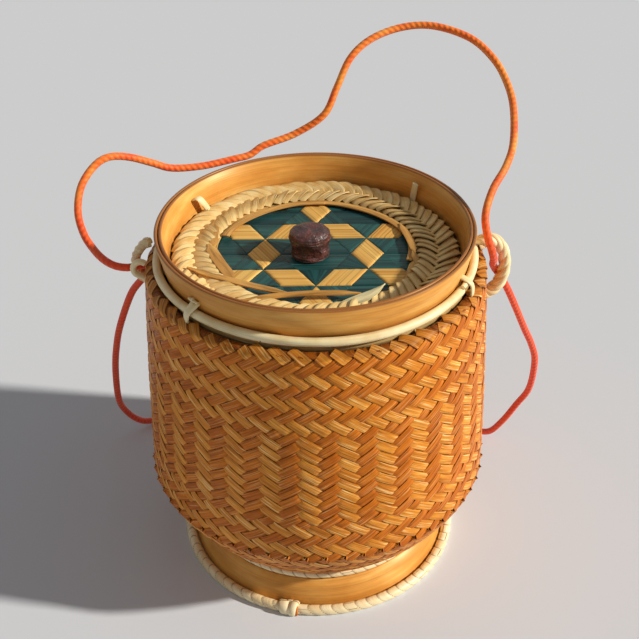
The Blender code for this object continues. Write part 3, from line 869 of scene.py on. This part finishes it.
def wrap_turn(pile, azimuth, turns, slant, width, thick, finish):
    """A flat strip wound round the foot's edge at a slant, as where the wrapping starts and ends."""
    share = np.linspace(0, 1, 70)
    turn = math.radians(150) - share * turns * 2 * math.pi
    spin = math.radians(azimuth) + slant * (share - 0.5)
    reach = BINDING_HALF + thick / 2 - SUNK_IN
    height = np.maximum(BINDING_Z + reach * np.sin(turn), thick / 2)
    line = polar(BINDING_RADIUS + reach * np.cos(turn), spin, height)
    ways = directions(line)
    sides = unit(np.cross(ways, polar(np.cos(turn), spin, np.sin(turn))))
    section = strip_section(width, thick, thick * 0.45)
    sweep(pile, line, np.cross(sides, ways), sides, section, 0.85, finish)


core = Pile()
wrapped_hoop(
    core, MOUTH_RADIUS - CORE_INSET, WALL_TOP_Z + CORE_RISE, CORE_HALF_WIDE, CORE_HALF_HIGH,
    wraps=90, lean=1.0, groove=0.15,
)
# The core takes the amber copy that is painted darker as shade.
core.make("mouth_core", "basket", [amber_painted_shade], "amber_bamboo", "mouth_hem")

binding = Pile()
wrapped_hoop(
    binding, BINDING_RADIUS, BINDING_Z, BINDING_HALF, BINDING_HALF,
    wraps=74, lean=0.9, groove=0.12, cut=0.0,
)
for row in KNOT_TURNS:
    wrap_turn(binding, *row)
binding.make("foot_edge_wrapping", "basket", [rattan_wrap, amber_painted_shade], "pale_rattan", "foot_binding")

lashing = Pile()
lashing_low, lashing_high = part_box("foot_top_lashing")
wrapped_hoop(
    lashing, lashing_high.x - LASHING_HALF, lashing_low.z + LASHING_HALF, LASHING_HALF, LASHING_HALF,
    wraps=64, lean=0.5, groove=0.10,
)
lashing.make("foot_top_wrapping", "basket", [rattan_wrap], "pale_rattan", "foot_top_lashing")

# %% [markdown]
# A hoop of bent wood is a flat strip closed into a ring. Its cross-section is a thin rounded bar
# turned about the axis, which is cleaner than bending a long box.

# %% Bent hoops
HOOP_FLARE = 0.0029
HOOP_PLY = 0.0012
PLY_STEP = HOOP_PLY + GAP
FOOT_PLY = 0.0018
FOOT_TOP_RADIUS = 0.0498
HOOP_EASE = 0.0003
HOOP_WOBBLE = 0.00006
RIM_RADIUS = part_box("lid_hoop_outer")[1].x
LID_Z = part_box("lid_hoop_outer")[0].z
RIM_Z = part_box("lid_hoop_outer")[1].z


def turned_ring(pile, outline, steps=240, tint=0.5, wobble=0.0, seed=0.0, middle=(0.0, 0.0)):
    """Turns a closed (radius, height) outline about an upright line, which is the axis if not given."""
    outline = np.array(outline)
    turn = np.arange(steps)[:, None] * 2 * math.pi / steps
    uneven = wobble * (np.sin(3 * turn + seed) + 0.5 * np.sin(7 * turn + 2 * seed))
    radius = outline[None, :, 0] + uneven
    girth = np.concatenate([[0.0], np.cumsum(np.linalg.norm(np.diff(outline, axis=0), axis=1))])
    fibres = [turn * outline[:, 0].mean() + 0 * radius, girth[None] + 0 * turn, tint + 0 * radius]
    points = polar(radius, turn, outline[:, 1]) + (*middle, 0.0)
    pile.add(points, np.stack(fibres, axis=-1), ring_faces(*radius.shape))


def hoop(name, body, top, low, thick, node, tint):
    """A hoop whose outside runs from its top edge to its low one, both (radius, height)."""
    top = np.array(top)
    low = np.array(low)
    down = unit(low - top)
    inwards = np.array([down[1], -down[0]])
    corners = (
        top + inwards * HOOP_EASE,
        top + down * HOOP_EASE,
        low - down * HOOP_EASE,
        low + inwards * HOOP_EASE,
        low + inwards * (thick - HOOP_EASE),
        low + inwards * thick - down * HOOP_EASE,
        top + inwards * thick + down * HOOP_EASE,
        top + inwards * (thick - HOOP_EASE),
    )
    pile = Pile()
    turned_ring(pile, corners, tint=tint, wobble=HOOP_WOBBLE, seed=9 * tint)
    pile.make(name, body, [bent_wood], "bent_wood", node, sharp=60)


foot_low, foot_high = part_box("foot_hoop")
foot_edges = ((FOOT_TOP_RADIUS, foot_high.z), (foot_high.x, foot_low.z))
hoop("foot_bent_hoop", "basket", *foot_edges, FOOT_PLY, "foot_hoop", 0.3)
for name, inset, node, tint in (
    ("lid_hoop_skin", 0.0, "lid_hoop_outer", 0.5),
    ("lid_hoop_lining", PLY_STEP, "lid_hoop_inner", 0.8),
):
    edges = ((RIM_RADIUS - inset, RIM_Z), (RIM_RADIUS - HOOP_FLARE - inset, LID_Z))
    hoop(name, "lid", *edges, HOOP_PLY, node, tint)

# %% [markdown]
# The ring is one long cane bent round the foot of the hoop. Its front end is cut round and its back
# end runs on past it, beside the right front tie. A smooth rod is enough, with the two ends drawn
# thinner where they pass each other.

# %% The ring round the lid
RING_HALF = (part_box("lid_ring")[1].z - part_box("lid_ring")[0].z) / 2
RING_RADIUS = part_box("lid_ring")[1].x - RING_HALF
RING_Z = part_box("lid_ring")[0].z + RING_HALF
RING_LAP = math.radians(5)
RING_CUT = math.radians(3.2)
RING_THINNED = 0.45
RING_BLUNT = 0.02
RING_SWAY = 0.0003
RING_PROUD = 0.0002
LAP_OUT = 0.0008
LAP_UP = 0.0019
TIE_AZIMUTHS = (43.0, 148.0, 224.5, 335.0)


def ring_rod():
    start = math.radians(TIE_AZIMUTHS[3] - 360)
    turn = np.linspace(start - RING_LAP, start + 2 * math.pi - RING_CUT, 420)
    from_start = turn - turn[0]
    thin = 1 - RING_THINNED * np.exp(-((from_start / RING_LAP) ** 2))
    blunt = np.sqrt(np.clip(1 - (1 - np.clip((turn[-1] - turn) / RING_BLUNT, 0, 1)) ** 2, 0.05, 1))
    size = thin * blunt * (1 + 0.03 * np.sin(5 * turn) + 0.02 * np.sin(13 * turn + 1))
    lap = np.exp(-((from_start / (1.3 * RING_LAP)) ** 2))
    radius = RING_RADIUS + RING_PROUD + RING_SWAY * np.sin(4 * turn + 0.5) + LAP_OUT * lap
    pile = Pile()
    line = polar(radius, turn, RING_Z + LAP_UP * lap)
    sweep_level(pile, line, scaled(round_section(RING_HALF, 14), size, size), 0.3)
    pile.make("ring_cane", "lid", [rattan], "pale_rattan", "lid_ring", sharp=70)


ring_rod()

# %% [markdown]
# Each tie is a flat strip of rattan. It comes out through the hoop, passes over the ring, and ends in
# a tail. Inside the hoop two ends show: one stands up like a peg, and one leans down to the mat as a
# small loop. The lines are short and irregular, so their knots are given one by one, each from a place
# that the tie must pass: out from the axis, up from the lid's foot, and along the hoop.

# %% The ties
TIE_THICK = 0.0012
CAP_THICK = 0.0010
TIE_PROUD = 0.0002
TIE_STEP = 0.0006
HOLE_HEIGHT = 0.005
HOLE_RADIUS = RIM_RADIUS - HOOP_FLARE + HOOP_FLARE * HOLE_HEIGHT / (RIM_Z - LID_Z)
HOLE_OUT = (HOLE_RADIUS + TIE_PROUD, 0.0, 0.0)
INSIDE = (HOLE_RADIUS - HOOP_PLY - PLY_STEP, 0.0, 0.0)
OVER_RING = (RING_RADIUS, 2 * RING_HALF + TIE_THICK / 2, 0.0)
PAST_RING = (RING_RADIUS + RING_HALF + TIE_THICK / 2, 0.0, 0.0)
OUTSIDE = (HOLE_OUT, OVER_RING, PAST_RING, PAST_RING, PAST_RING)
OUTSIDE_KNOTS = (
    ((-0.0020, 0.0050, 0.0), (0.0, 0.0004, 0.0003), (0.0, 0.0026, 0.0),
     (-0.0001, 0.0, -0.0003), (-0.0004, -0.0010, 0.0)),
    ((-0.0020, 0.0052, 0.0), (0.0, 0.0003, 0.0), (0.0, 0.0025, 0.0004),
     (-0.0001, 0.0002, 0.0), (-0.0004, -0.0008, 0.0)),
    ((-0.0020, 0.0064, 0.0), (-0.0002, 0.0011, 0.0002), (0.0004, 0.0030, -0.0002),
     (0.0008, 0.0004, -0.0005), (0.0002, -0.0022, -0.0003)),
    ((-0.0020, 0.0056, -0.0012), (0.0, 0.0012, -0.0014), (0.0003, 0.0030, -0.0010),
     (0.0008, 0.0, -0.0010), (0.0004, -0.0034, -0.0008)),
)
OUTSIDE_WIDTHS = (
    (0.0026, 0.0028, 0.0026, 0.0022, 0.0014),
    (0.0026, 0.0028, 0.0026, 0.0022, 0.0014),
    (0.0040, 0.0044, 0.0034, 0.0026, 0.0006),
    (0.0028, 0.0032, 0.0028, 0.0030, 0.0030),
)
INSIDE_KNOTS = (
    ((-0.0012, 0.0022, 0.0004), (-0.0012, 0.0050, 0.0001), (-0.0012, 0.0078, -0.0004),
     (-0.0013, 0.0106, -0.0010)),
    ((0.0010, 0.0084, 0.0014), (-0.0012, 0.0092, 0.0008), (-0.0026, 0.0068, -0.0006),
     (-0.0036, 0.0042, -0.0016), (-0.0040, 0.0028, -0.0020)),
    ((0.0020, 0.0060, 0.0), (-0.0008, 0.0060, 0.0), (-0.0013, 0.0044, 0.0004),
     (-0.0012, 0.0030, 0.0006)),
    ((0.0020, 0.0052, 0.0), (-0.0008, 0.0052, 0.0), (-0.0013, 0.0040, -0.0004),
     (-0.0012, 0.0030, -0.0006)),
)
INSIDE_WIDTHS = (0.0030, 0.0032, 0.0028)
CAP_TIE = 3
CAP_KNOTS = ((0.0006, 0.0062, -0.0022), (0.0011, 0.0068, 0.0), (0.0006, 0.0064, 0.0024))
CAP_WIDTHS = (0.0020, 0.0026, 0.0018)


def tie_strip(pile, azimuth, base, knots, widths, thick, tint):
    """A flat strip of a tie, whose face turns away from the ring."""
    turn = math.radians(azimuth)
    out = np.array([math.cos(turn), math.sin(turn), 0.0])
    across = np.array([-math.sin(turn), math.cos(turn), 0.0])
    places = np.array(base) + knots
    line = smooth_line([out * r + across * a + (0.0, 0.0, LID_Z + z) for r, z, a in places], TIE_STEP)
    ways = directions(line)
    sides = unit(across - ways * (ways @ across)[:, None])
    share = np.linspace(0, 1, len(line))
    width = np.interp(share, np.linspace(0, 1, len(widths)), widths)
    sweep(pile, line, np.cross(sides, ways), sides, scaled(round_section(0.5), width, thick), tint)


for number, azimuth in enumerate(TIE_AZIMUTHS, 1):
    tie = Pile()
    tint = 0.2 * number
    outside = (OUTSIDE_KNOTS[number - 1], OUTSIDE_WIDTHS[number - 1])
    tie_strip(tie, azimuth, OUTSIDE, *outside, TIE_THICK, tint)
    tie_strip(tie, azimuth, INSIDE, INSIDE_KNOTS[number - 1], INSIDE_WIDTHS, TIE_THICK, tint)
    if number == CAP_TIE:
        tie_strip(tie, azimuth, HOLE_OUT, CAP_KNOTS, CAP_WIDTHS, CAP_THICK, 0.9)
    tie.make(f"tie_strip_{number}", "lid", [rattan], "pale_rattan", f"lid_tie_{number}", sharp=70)

# %% [markdown]
# The mat of the lid is woven in three directions from wide flat strips, and where straw-coloured
# strips come up through the teal ones they draw a star with six points. Its geometry is a grid of
# equilateral triangles: a middle hexagon, six diamonds round it, and six more beyond. Each patch is
# a thin pad with its own grain direction, so its edges cast the small shadows that show the weave.

# %% The star mat
STAR_SIDE = 0.0130
STAR_Y = -0.0014
STAR_REACH = 0.043
PAD_GAP = 0.00022
PAD_SHORT = 0.97
PAD_RIPPLE = 0.00008
EASE = np.array([0.0, 0.02, 0.06, 0.15, 0.32, 0.5, 0.68, 0.85, 0.94, 0.98, 1.0])
MAT_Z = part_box("lid_disc")[0].z
MAT_LIFT = 0.0002
MAT_BORE = 0.0004
MAT_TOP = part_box("lid_disc")[1].z
MAT_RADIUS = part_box("lid_disc")[1].x
TEAL = 0
STRAW = 1
ROW_LOW = MAT_TOP - 0.0008
ROW_TOP = MAT_TOP - 0.00025
PAD_LOW = MAT_TOP - 0.0006
PAD_TOPS = {TEAL: MAT_TOP - 0.00005, STRAW: MAT_TOP + 0.00018}

teal_strips = strip_finish(
    "teal dyed strips", (52, 112, 108), (28, 78, 80), (8, 34, 46), 0.02, gloss=0.40, lines=1500.0,
    along=16.0, cut=0.42,
)
straw_strips = strip_finish(
    "straw strips", (246, 206, 120), (238, 186, 98), (212, 144, 62), 0.02, gloss=0.48, lines=1150.0,
    along=12.0,
)


def spot(length, degrees):
    """A corner of the star's grid."""
    turn = math.radians(degrees)
    return np.array([length * math.cos(turn), STAR_Y + length * math.sin(turn)])


def pad(pile, start, grain_end, far_end, fourth, low, top, finish):
    """A four-cornered pad whose grain runs from start to grain_end, with eased edges."""
    tint = chance.uniform(0, 1)
    corners = np.array([start, grain_end, far_end, fourth])
    middle = corners.mean(axis=0)
    reach = np.linalg.norm(corners - middle, axis=1, keepdims=True)
    corners = middle + (corners - middle) * (1 - PAD_GAP / reach)
    u, v = np.meshgrid(EASE, EASE, indexing="ij")
    spread = [(1 - u) * (1 - v), u * (1 - v), u * v, (1 - u) * v]
    flat = sum(s[..., None] * corner for s, corner in zip(spread, corners))
    lift = np.minimum(1, np.minimum(u, 1 - u) / 0.06) * np.minimum(1, np.minimum(v, 1 - v) / 0.06)
    height = low + (top - low) * (0.35 + 0.65 * np.sqrt(lift))
    height = height + PAD_RIPPLE * np.sin(6.28 * v * 3 + 9 * tint)
    layers = [np.concatenate([flat, z[..., None]], axis=-1) for z in (height, np.full_like(height, low))]
    length = np.linalg.norm(corners[1] - corners[0])
    width = np.linalg.norm(corners[3] - corners[0])
    ways = np.stack([u * length, (v - 0.5) * width, np.full_like(u, tint)], axis=-1)
    index = np.arange(u.size).reshape(u.shape)
    quads = np.stack([index[:-1, :-1], index[1:, :-1], index[1:, 1:], index[:-1, 1:]], axis=-1)
    rim = np.concatenate([index[:-1, 0], index[-1, :-1], index[:0:-1, -1], index[0, :0:-1]])
    following = np.roll(rim, -1)
    walls = np.stack([rim, following, following + u.size, rim + u.size], axis=-1)
    faces = [quads.reshape(-1, 4), (quads[..., ::-1] + u.size).reshape(-1, 4), walls]
    pile.add(np.array(layers), np.array([ways] * 2), np.concatenate(faces).tolist(), finish)


chance = np.random.RandomState(21)
mat = Pile()
base_low = MAT_Z + MAT_LIFT
base_outline = [(MAT_BORE, base_low), (MAT_RADIUS, base_low), (MAT_RADIUS, PAD_LOW), (MAT_BORE, PAD_LOW)]
turned_ring(mat, base_outline, steps=96, tint=0.1)
row_wide = STAR_SIDE * math.sqrt(3) / 2
for row in range(-4, 4):
    low_y = STAR_Y + row * row_wide
    high_y = low_y + row_wide
    half = math.sqrt(max(STAR_REACH**2 - max(abs(low_y), abs(high_y)) ** 2, 0.012**2))
    row_corners = ((-half, low_y), (half, low_y), (half, high_y), (-half, high_y))
    pad(mat, *row_corners, ROW_LOW, ROW_TOP, TEAL)

for turn in range(0, 360, 60):
    inner = spot(STAR_SIDE, turn)
    next_inner = spot(STAR_SIDE, turn + 60)
    tip = spot(2 * STAR_SIDE, turn)
    next_tip = spot(2 * STAR_SIDE, turn + 60)
    left = spot(STAR_SIDE * math.sqrt(3), turn + 30)
    right = spot(STAR_SIDE * math.sqrt(3), turn - 30)
    near = left + inner - (0.0, STAR_Y)
    far = left + next_inner - (0.0, STAR_Y)
    for *corners, finish in (
        (inner, right, tip, left, STRAW),
        (left, far, far + inner - (0.0, STAR_Y), near, STRAW),
        (next_inner, left, left + (inner - left) * (1 - PAD_SHORT), inner, TEAL),
        (tip, near, near + (left - near) * PAD_SHORT, left, TEAL),
        (left, far, far + (next_tip - far) * PAD_SHORT, next_tip, TEAL),
    ):
        pad(mat, *corners, PAD_LOW, PAD_TOPS[finish], finish)
mat.make("star_mat", "lid", [teal_strips, straw_strips], "dyed_mat", "lid_disc", sharp=35)

# %% [markdown]
# Thin natural splints frame the star. They are stiff, so they lie as straight chords with their ends
# crossing, and only at the back do they follow the circle. One pointed sliver has sprung loose.

# %% The splints
SPLINT_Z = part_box("splint_ring")[0].z + 0.0004
SPLINT_THICK = 0.0006
SPLINT_CROWN = 0.00012
SPLINT_POINTS = 14
ARC_POINTS = 60
ARC_SWAY = 0.0004
ARC_SPLINTS = (
    (0.0366, -14, 96, 0.0030, 0.0003, 0.4),
    (0.0356, 84, 165, 0.0028, 0.0009, 0.7),
    (0.0386, 120, 182, 0.0024, 0.0001, 0.2),
)
SPLINTS = (
    ((-0.0392, 0.0205, 0.0014), (-0.0385, -0.0010, 0.0016), 0.0038, 0.0006),
    ((-0.0405, 0.0010, 0.0022), (-0.0295, -0.0235, 0.0018), 0.0042, 0.0006),
    ((-0.0470, -0.0162, 0.0026), (-0.0085, -0.0328, 0.0014), 0.0030, 0.0010),
    ((-0.0258, -0.0372, 0.0019), (0.0160, -0.0335, 0.0019), 0.0028, -0.0022),
    ((-0.0350, -0.0190, 0.0010), (-0.0240, -0.0380, 0.0014), 0.0036, 0.0004),
    ((0.0372, -0.0085, 0.0005), (0.0300, -0.0315, 0.0010), 0.0036, 0.0006),
    ((0.0362, -0.0036, 0.0010), (0.0386, -0.0200, 0.0006), 0.0026, 0.0006),
    ((0.0330, 0.0180, 0.0008), (0.0372, -0.0050, 0.0011), 0.0026, 0.0006),
)
SLIVER_START = np.array([0.0070, -0.0405, SPLINT_Z + 0.0016])
SLIVER_END = np.array([0.0246, -0.0290, SPLINT_Z + 0.0030])
SLIVER_BOW = np.array([0.0016, -0.0014, 0.0])
SLIVER_WIDE = 0.0046
SLIVER_THICK = 0.0005
SLIVER_POINTS = 24

splint_finish = strip_finish(
    "natural splints", (232, 186, 112), (214, 160, 84), (168, 112, 50), 0.0016, gloss=0.5
)
sliver_finish = strip_finish(
    "pale sliver", (254, 246, 200), (246, 232, 178), (206, 184, 126), 0.0026, gloss=0.5
)


def arc_splint(pile, radius, start, end, width, height, tint):
    """A splint that follows the circle of the star, between two angles."""
    turn = np.radians(np.linspace(start, end, ARC_POINTS))
    line = polar(radius + ARC_SWAY * np.sin(turn * 5), turn, SPLINT_Z + height)
    sweep_level(pile, line, strip_section(width, SPLINT_THICK, SPLINT_CROWN), tint)


def splint(pile, start, end, width, bow):
    """A straight splint with tapered ends, bowed a little away from the lid's middle."""
    start = np.array(start) + (0, 0, SPLINT_Z)
    end = np.array(end) + (0, 0, SPLINT_Z)
    share = np.linspace(0, 1, SPLINT_POINTS)
    out = unit((start + end) / 2 * (1, 1, 0))
    line = start + (end - start) * share[:, None] + out * bow * (4 * share * (1 - share))[:, None]
    taper = np.clip(np.minimum(share, 1 - share) / 0.16, 0.25, 1)
    section = scaled(strip_section(width, SPLINT_THICK, SPLINT_CROWN), taper, 1.0)
    sweep_level(pile, line, section, chance.uniform(0, 1))


splints = Pile()
for row in ARC_SPLINTS:
    arc_splint(splints, *row)
for row in SPLINTS:
    splint(splints, *row)
splints.make("splint_frame", "lid", [splint_finish], "palm_leaf", "splint_ring", sharp=40)

sliver = Pile()
share = np.linspace(0, 1, SLIVER_POINTS)
line = SLIVER_START + (SLIVER_END - SLIVER_START) * share[:, None]
line += SLIVER_BOW * np.sin(share * math.pi)[:, None]
wide = SLIVER_WIDE * np.sin(np.clip(share * 1.05, 0.02, 1) ** 0.8 * math.pi) + 0.0003
sweep_level(sliver, line, scaled(strip_section(1.0, 1.0, 0.2), wide, SLIVER_THICK), 0.9)
sliver.make("loose_sliver", "lid", [sliver_finish], "palm_leaf", sharp=40)

# %% [markdown]
# The band round the star is plaited from pale palm leaf in two rows of folds that meet in a
# herringbone. Each fold is a soft tongue that starts under the last one and comes up over the next,
# so the tongues are laid like shingles, tilted along the band.

# %% The plaited band
LEAF_HALF = 0.0022
LEAF_THICK = 0.0006
LEAF_TILT = math.radians(17)
LEAF_ARCH = 0.0012
LEAF_LIFT = 0.0006
FOLDS = 68
FOLD_STEP = 2 * math.pi / FOLDS
BAND_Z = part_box("plait_band")[0].z
BAND_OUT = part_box("plait_band")[1].x
BAND_IN = 0.0385
BAND_MIDDLE = 0.0462
BAND_GROUND = BAND_Z + 0.0004
OUTER_ROW = (BAND_OUT - 0.0006, BAND_MIDDLE - BAND_OUT - 0.0002, 1.9, 0.5)
INNER_ROW = (BAND_IN + 0.0004, BAND_MIDDLE - BAND_IN + 0.0006, 1.7, 0.0)


def leaf_finish():
    finish = Finish("palm leaf", Roughness=0.55, IOR=1.45)
    veins = finish.noise(finish.fibre(90.0, 1900.0, 37.0), 4.0)
    cloud = finish.noise(finish.fibre(160.0, 260.0, 71.0), 2.0)
    colour = finish.ramp(cloud, (0.28, (218, 174, 100)), (0.50, (240, 206, 138)), (0.74, (252, 230, 172)))
    colour = finish.shade(colour, 0.75, veins, (0.28, 0.68), (0.55, 1.0))
    # Painted shade: each tongue darker towards its edges, where it lies under and over its neighbours.
    colour = finish.shade(colour, 1.0, finish.from_middle(LEAF_HALF), (0.76, 1.0), (1.0, 0.58))
    return finish.end(colour, veins, 0.00012)


def leaf_fold(pile, number, edge, reach, lean, shift):
    """One tongue of leaf, from the edge of the band to its middle."""
    turn = number * FOLD_STEP + shift * FOLD_STEP + chance.uniform(-0.12, 0.12) * FOLD_STEP
    share = np.linspace(0, 1, 11)
    spin = turn + lean * FOLD_STEP * (1 - share) ** 1.3
    arch = np.sin(share**0.8 * math.pi) ** 0.8
    height = BAND_Z + LEAF_LIFT + LEAF_ARCH * arch + chance.uniform(-0.0002, 0.0005)
    line = polar(edge + reach * share, spin, height)
    tilt = LEAF_TILT * chance.uniform(0.8, 1.2)
    ways = directions(line)
    along = polar(1.0, spin + math.pi / 2, 0.0)
    level = unit(along - ways * (ways * along).sum(axis=1, keepdims=True))
    up = np.cross(ways, level)
    up = up * np.sign(up[:, 2:3])
    sides = level * math.cos(tilt) - up * math.sin(tilt)
    ups = up * math.cos(tilt) + level * math.sin(tilt)
    width = 2 * LEAF_HALF * (0.75 + 0.35 * np.sin(share * math.pi)) * chance.uniform(0.85, 1.15)
    section = scaled(strip_section(1.0, 1.0, 0.35), width, LEAF_THICK)
    sweep(pile, line, ups, sides, section, chance.uniform(0, 1))


palm_leaf = leaf_finish()
plait = Pile()
ground = [(BAND_IN, BAND_Z), (BAND_OUT, BAND_Z), (BAND_OUT, BAND_GROUND), (BAND_IN, BAND_GROUND)]
turned_ring(plait, ground, steps=96, tint=0.4)
for number in range(FOLDS):
    leaf_fold(plait, number, *OUTER_ROW)
    leaf_fold(plait, number, *INNER_ROW)
plait.make("leaf_plait", "lid", [palm_leaf], "palm_leaf", "plait_band", sharp=60)

# %% [markdown]
# The knob is a rough carved block with a round top, a faint waist and worn flats. It stands a little
# off the middle of the lid. It starts as a fine ball, is drawn to the knob's outline, and gets broad
# flats and small pits by moving its points.

# %% The knob
KNOB_SHAPE = np.array([
    (-1.0, 0.0, 0.0), (-0.97, 0.84, 0.0), (-0.90, 0.90, 0.02), (-0.60, 0.91, 0.18),
    (-0.32, 0.94, 0.34), (-0.05, 0.99, 0.50), (0.20, 1.0, 0.62), (0.48, 0.94, 0.77),
    (0.72, 0.76, 0.89), (0.90, 0.46, 0.97), (1.0, 0.0, 1.0),
])
KNOB_FLATS = 22
FLAT_DEPTH = 0.90


def make_knob():
    low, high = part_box("knob")
    middle = (low + high) / 2
    radius = (high.x - low.x) / 2
    tall = high.z - low.z
    mesh = bpy.data.meshes.new("maroon_knob")
    ball = bmesh.new()
    bmesh.ops.create_icosphere(ball, subdivisions=5, radius=1.0)
    flats = unit(np.random.RandomState(5).normal(size=(KNOB_FLATS, 3)))
    for vert in ball.verts:
        x, y, z = vert.co
        facet = min(1.0, FLAT_DEPTH / max(0.001, float((flats @ np.array(vert.co)).max())))
        rough = 1 + 0.014 * math.sin(17 * x + 3) * math.sin(13 * y) + 0.008 * math.sin(41 * z)
        size = facet * rough
        out, up = (np.interp(z, KNOB_SHAPE[:, 0], KNOB_SHAPE[:, i]) for i in (1, 2))
        spread = radius * out * size / (math.hypot(x, y) + 1e-9)
        height = tall * min(up * (1 + 0.5 * (size - 1)), 1.0)
        vert.co = Vector((middle.x + x * spread, middle.y + y * spread, low.z + height))
    ball.to_mesh(mesh)
    ball.free()
    mesh.materials.append(knob_wood)
    mesh.shade_smooth()
    mesh.set_sharp_from_angle(angle=math.radians(24))
    knob = put("maroon_knob", mesh)
    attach(knob, "lid")
    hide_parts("knob")
    print("knob in mm, across and tall:", round(2000 * radius, 1), round(1000 * tall, 1))


make_knob()

# %% [markdown]
# Under the lid a collar of thin bamboo fits down inside the mouth, a plain square mat lines the lid,
# and a split peg with a washer holds the knob. They show when the lid is lifted off.

# %% The underside of the lid
COLLAR_THICK = 0.0012
PEG_RADIUS = 0.0020
PEG_HEAD = 0.0036
PEG_HEAD_THICK = 0.0012
AXIS_HOLE = 0.00001
TOP_EASE = 0.0002
EDGE_EASE = 0.0003
LOW_EASE = 0.0004
LINING_TRIM = 0.0002
LINING_LIFT = 0.0001

low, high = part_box("lid_collar")
collar = Pile()
turned_ring(collar, [
    (high.x, high.z),
    (high.x, low.z + LOW_EASE),
    (high.x - LOW_EASE, low.z),
    (high.x - COLLAR_THICK, low.z + EDGE_EASE),
    (high.x - COLLAR_THICK, high.z),
], tint=0.35, wobble=0.00004, seed=2.0)
collar.make("lid_collar_strip", "lid", [plain_strips], "plain_bamboo", "lid_collar")

low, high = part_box("lid_lining")
lining = Pile()
flat_mat(lining, high.x - LINING_TRIM, (low.z + high.z) / 2 + LINING_LIFT, -1.0)
lining.make("lid_lining_mat", "lid", [plain_strips], "plain_bamboo", "lid_lining")


def turned_on_peg(name, node, outline):
    """A piece turned about the peg's own line, from its (radius, height) outline."""
    low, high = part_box(node)
    middle = (low + high) / 2
    piece = Pile()
    outline = np.array(outline) + (AXIS_HOLE, 0.0)
    turned_ring(piece, outline, steps=48, tint=0.6, middle=(middle.x, middle.y))
    piece.make(name, "lid", [plain_strips], "plain_bamboo", node, sharp=40)


low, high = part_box("knob_peg")
head_z = low.z + PEG_HEAD_THICK
turned_on_peg("split_peg", "knob_peg", [
    (0.0, high.z), (PEG_RADIUS - TOP_EASE, high.z), (PEG_RADIUS, high.z - TOP_EASE),
    (PEG_RADIUS, head_z), (PEG_HEAD - EDGE_EASE, head_z), (PEG_HEAD, head_z - EDGE_EASE),
    (PEG_HEAD, low.z + EDGE_EASE), (PEG_HEAD - LOW_EASE, low.z), (0.0, low.z),
])
low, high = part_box("peg_washer")
reach = (high.x - low.x) / 2
bore = PEG_RADIUS + GAP
turned_on_peg("peg_collar", "peg_washer", [
    (bore, high.z), (reach - EDGE_EASE, high.z), (reach, high.z - EDGE_EASE),
    (reach, low.z + EDGE_EASE), (reach - EDGE_EASE, low.z), (bore, low.z),
])

# %% [markdown]
# The ears are loops of cream rattan, wound from a few thick canes that lie over each other. Each cane
# is a rod whose line winds about the middle of the loop, wider along the mouth than out from it. The
# left ear is the smaller, and one more turn of its cane passes in front of the cord.

# %% The ears
EAR_TURN = 6.0
EAR_CANES = 4
RIGHT_HEIGHT = 0.0240
RIGHT_REACH = 0.0073
RIGHT_RISE = 0.0020
LEFT_EAR = ((0.0640, 0.1378), (0.0660, 0.1373), (0.0681, 0.1350), (0.0698, 0.1320), (0.0706, 0.1290),
            (0.0704, 0.1262), (0.0692, 0.1234), (0.0672, 0.1216), (0.0662, 0.1210))
FRONT_TURN = ((0.0646, 0.1350), (0.0666, 0.1357), (0.0686, 0.1346), (0.0693, 0.1326), (0.0685, 0.1305),
              (0.0664, 0.1293), (0.0655, 0.1288))
FRONT_TURN_AZIMUTH = math.radians(183.6)
FRONT_CANE = 0.0012
EAR_STEP = 0.0004
FRONT_STEP = 0.0006


def right_ear_line():
    """The middle of the right ear: up off the mouth, out over it and back to the wall."""
    middle_z = HEM_TOP_Z + RIGHT_RISE - RIGHT_HEIGHT / 2
    radius, heights = wall_outline(0.0, False)
    foot = float(np.interp(RIGHT_HEIGHT / 2 - middle_z, -heights, radius)) + 2 * GAP
    turn = np.radians(np.linspace(122, -98, 90))
    return np.stack(
        [foot + RIGHT_REACH * np.cos(turn), 0 * turn, middle_z + RIGHT_HEIGHT / 2 * np.sin(turn)], axis=-1
    )


def wind_ear(azimuth, line, cane, out, along, twists):
    """Canes wound about a line in the plane of x and z, which is turned to the ear's place."""
    turn = math.radians(azimuth)
    spin = np.array([
        [math.cos(turn), math.sin(turn), 0],
        [-math.sin(turn), math.cos(turn), 0],
        [0, 0, 1],
    ])
    line = line @ spin
    ups, sides = carried_frame(line, spin[1])
    pile = Pile()
    for number in range(EAR_CANES):
        phase = np.linspace(0, 1, len(line)) * twists * 2 * math.pi + number * 2 * math.pi / EAR_CANES
        wound = line + ups * (along * np.cos(phase))[:, None] + sides * (out * np.sin(phase))[:, None]
        cane_ups, cane_sides = carried_frame(wound, ups[0])
        section = round_section(cane) * (1.15, 1.0)
        sweep(pile, wound, cane_ups, cane_sides, section, 0.2 + 0.2 * number)
    return pile


ear = wind_ear(EAR_TURN, right_ear_line(), cane=0.00135, out=0.0011, along=0.0019, twists=2.6)
ear.make("ear_right_canes", "basket", [rattan], "pale_rattan", "ear_right", sharp=80)

left_line = smooth_line([(radius, 0.0, height) for radius, height in LEFT_EAR], EAR_STEP)
ear = wind_ear(180 - EAR_TURN, left_line, cane=0.0011, out=0.0006, along=0.0016, twists=1.8)
front_knots = [polar(radius, FRONT_TURN_AZIMUTH, height) for radius, height in FRONT_TURN]
front = smooth_line(front_knots, FRONT_STEP)
front_ups, front_sides = carried_frame(front, (0.0, 1.0, 0.0))
sweep(ear, front, front_ups, front_sides, round_section(FRONT_CANE), 0.7)
ear.make("ear_left_canes", "basket", [rattan], "pale_rattan", "ear_left", sharp=80)
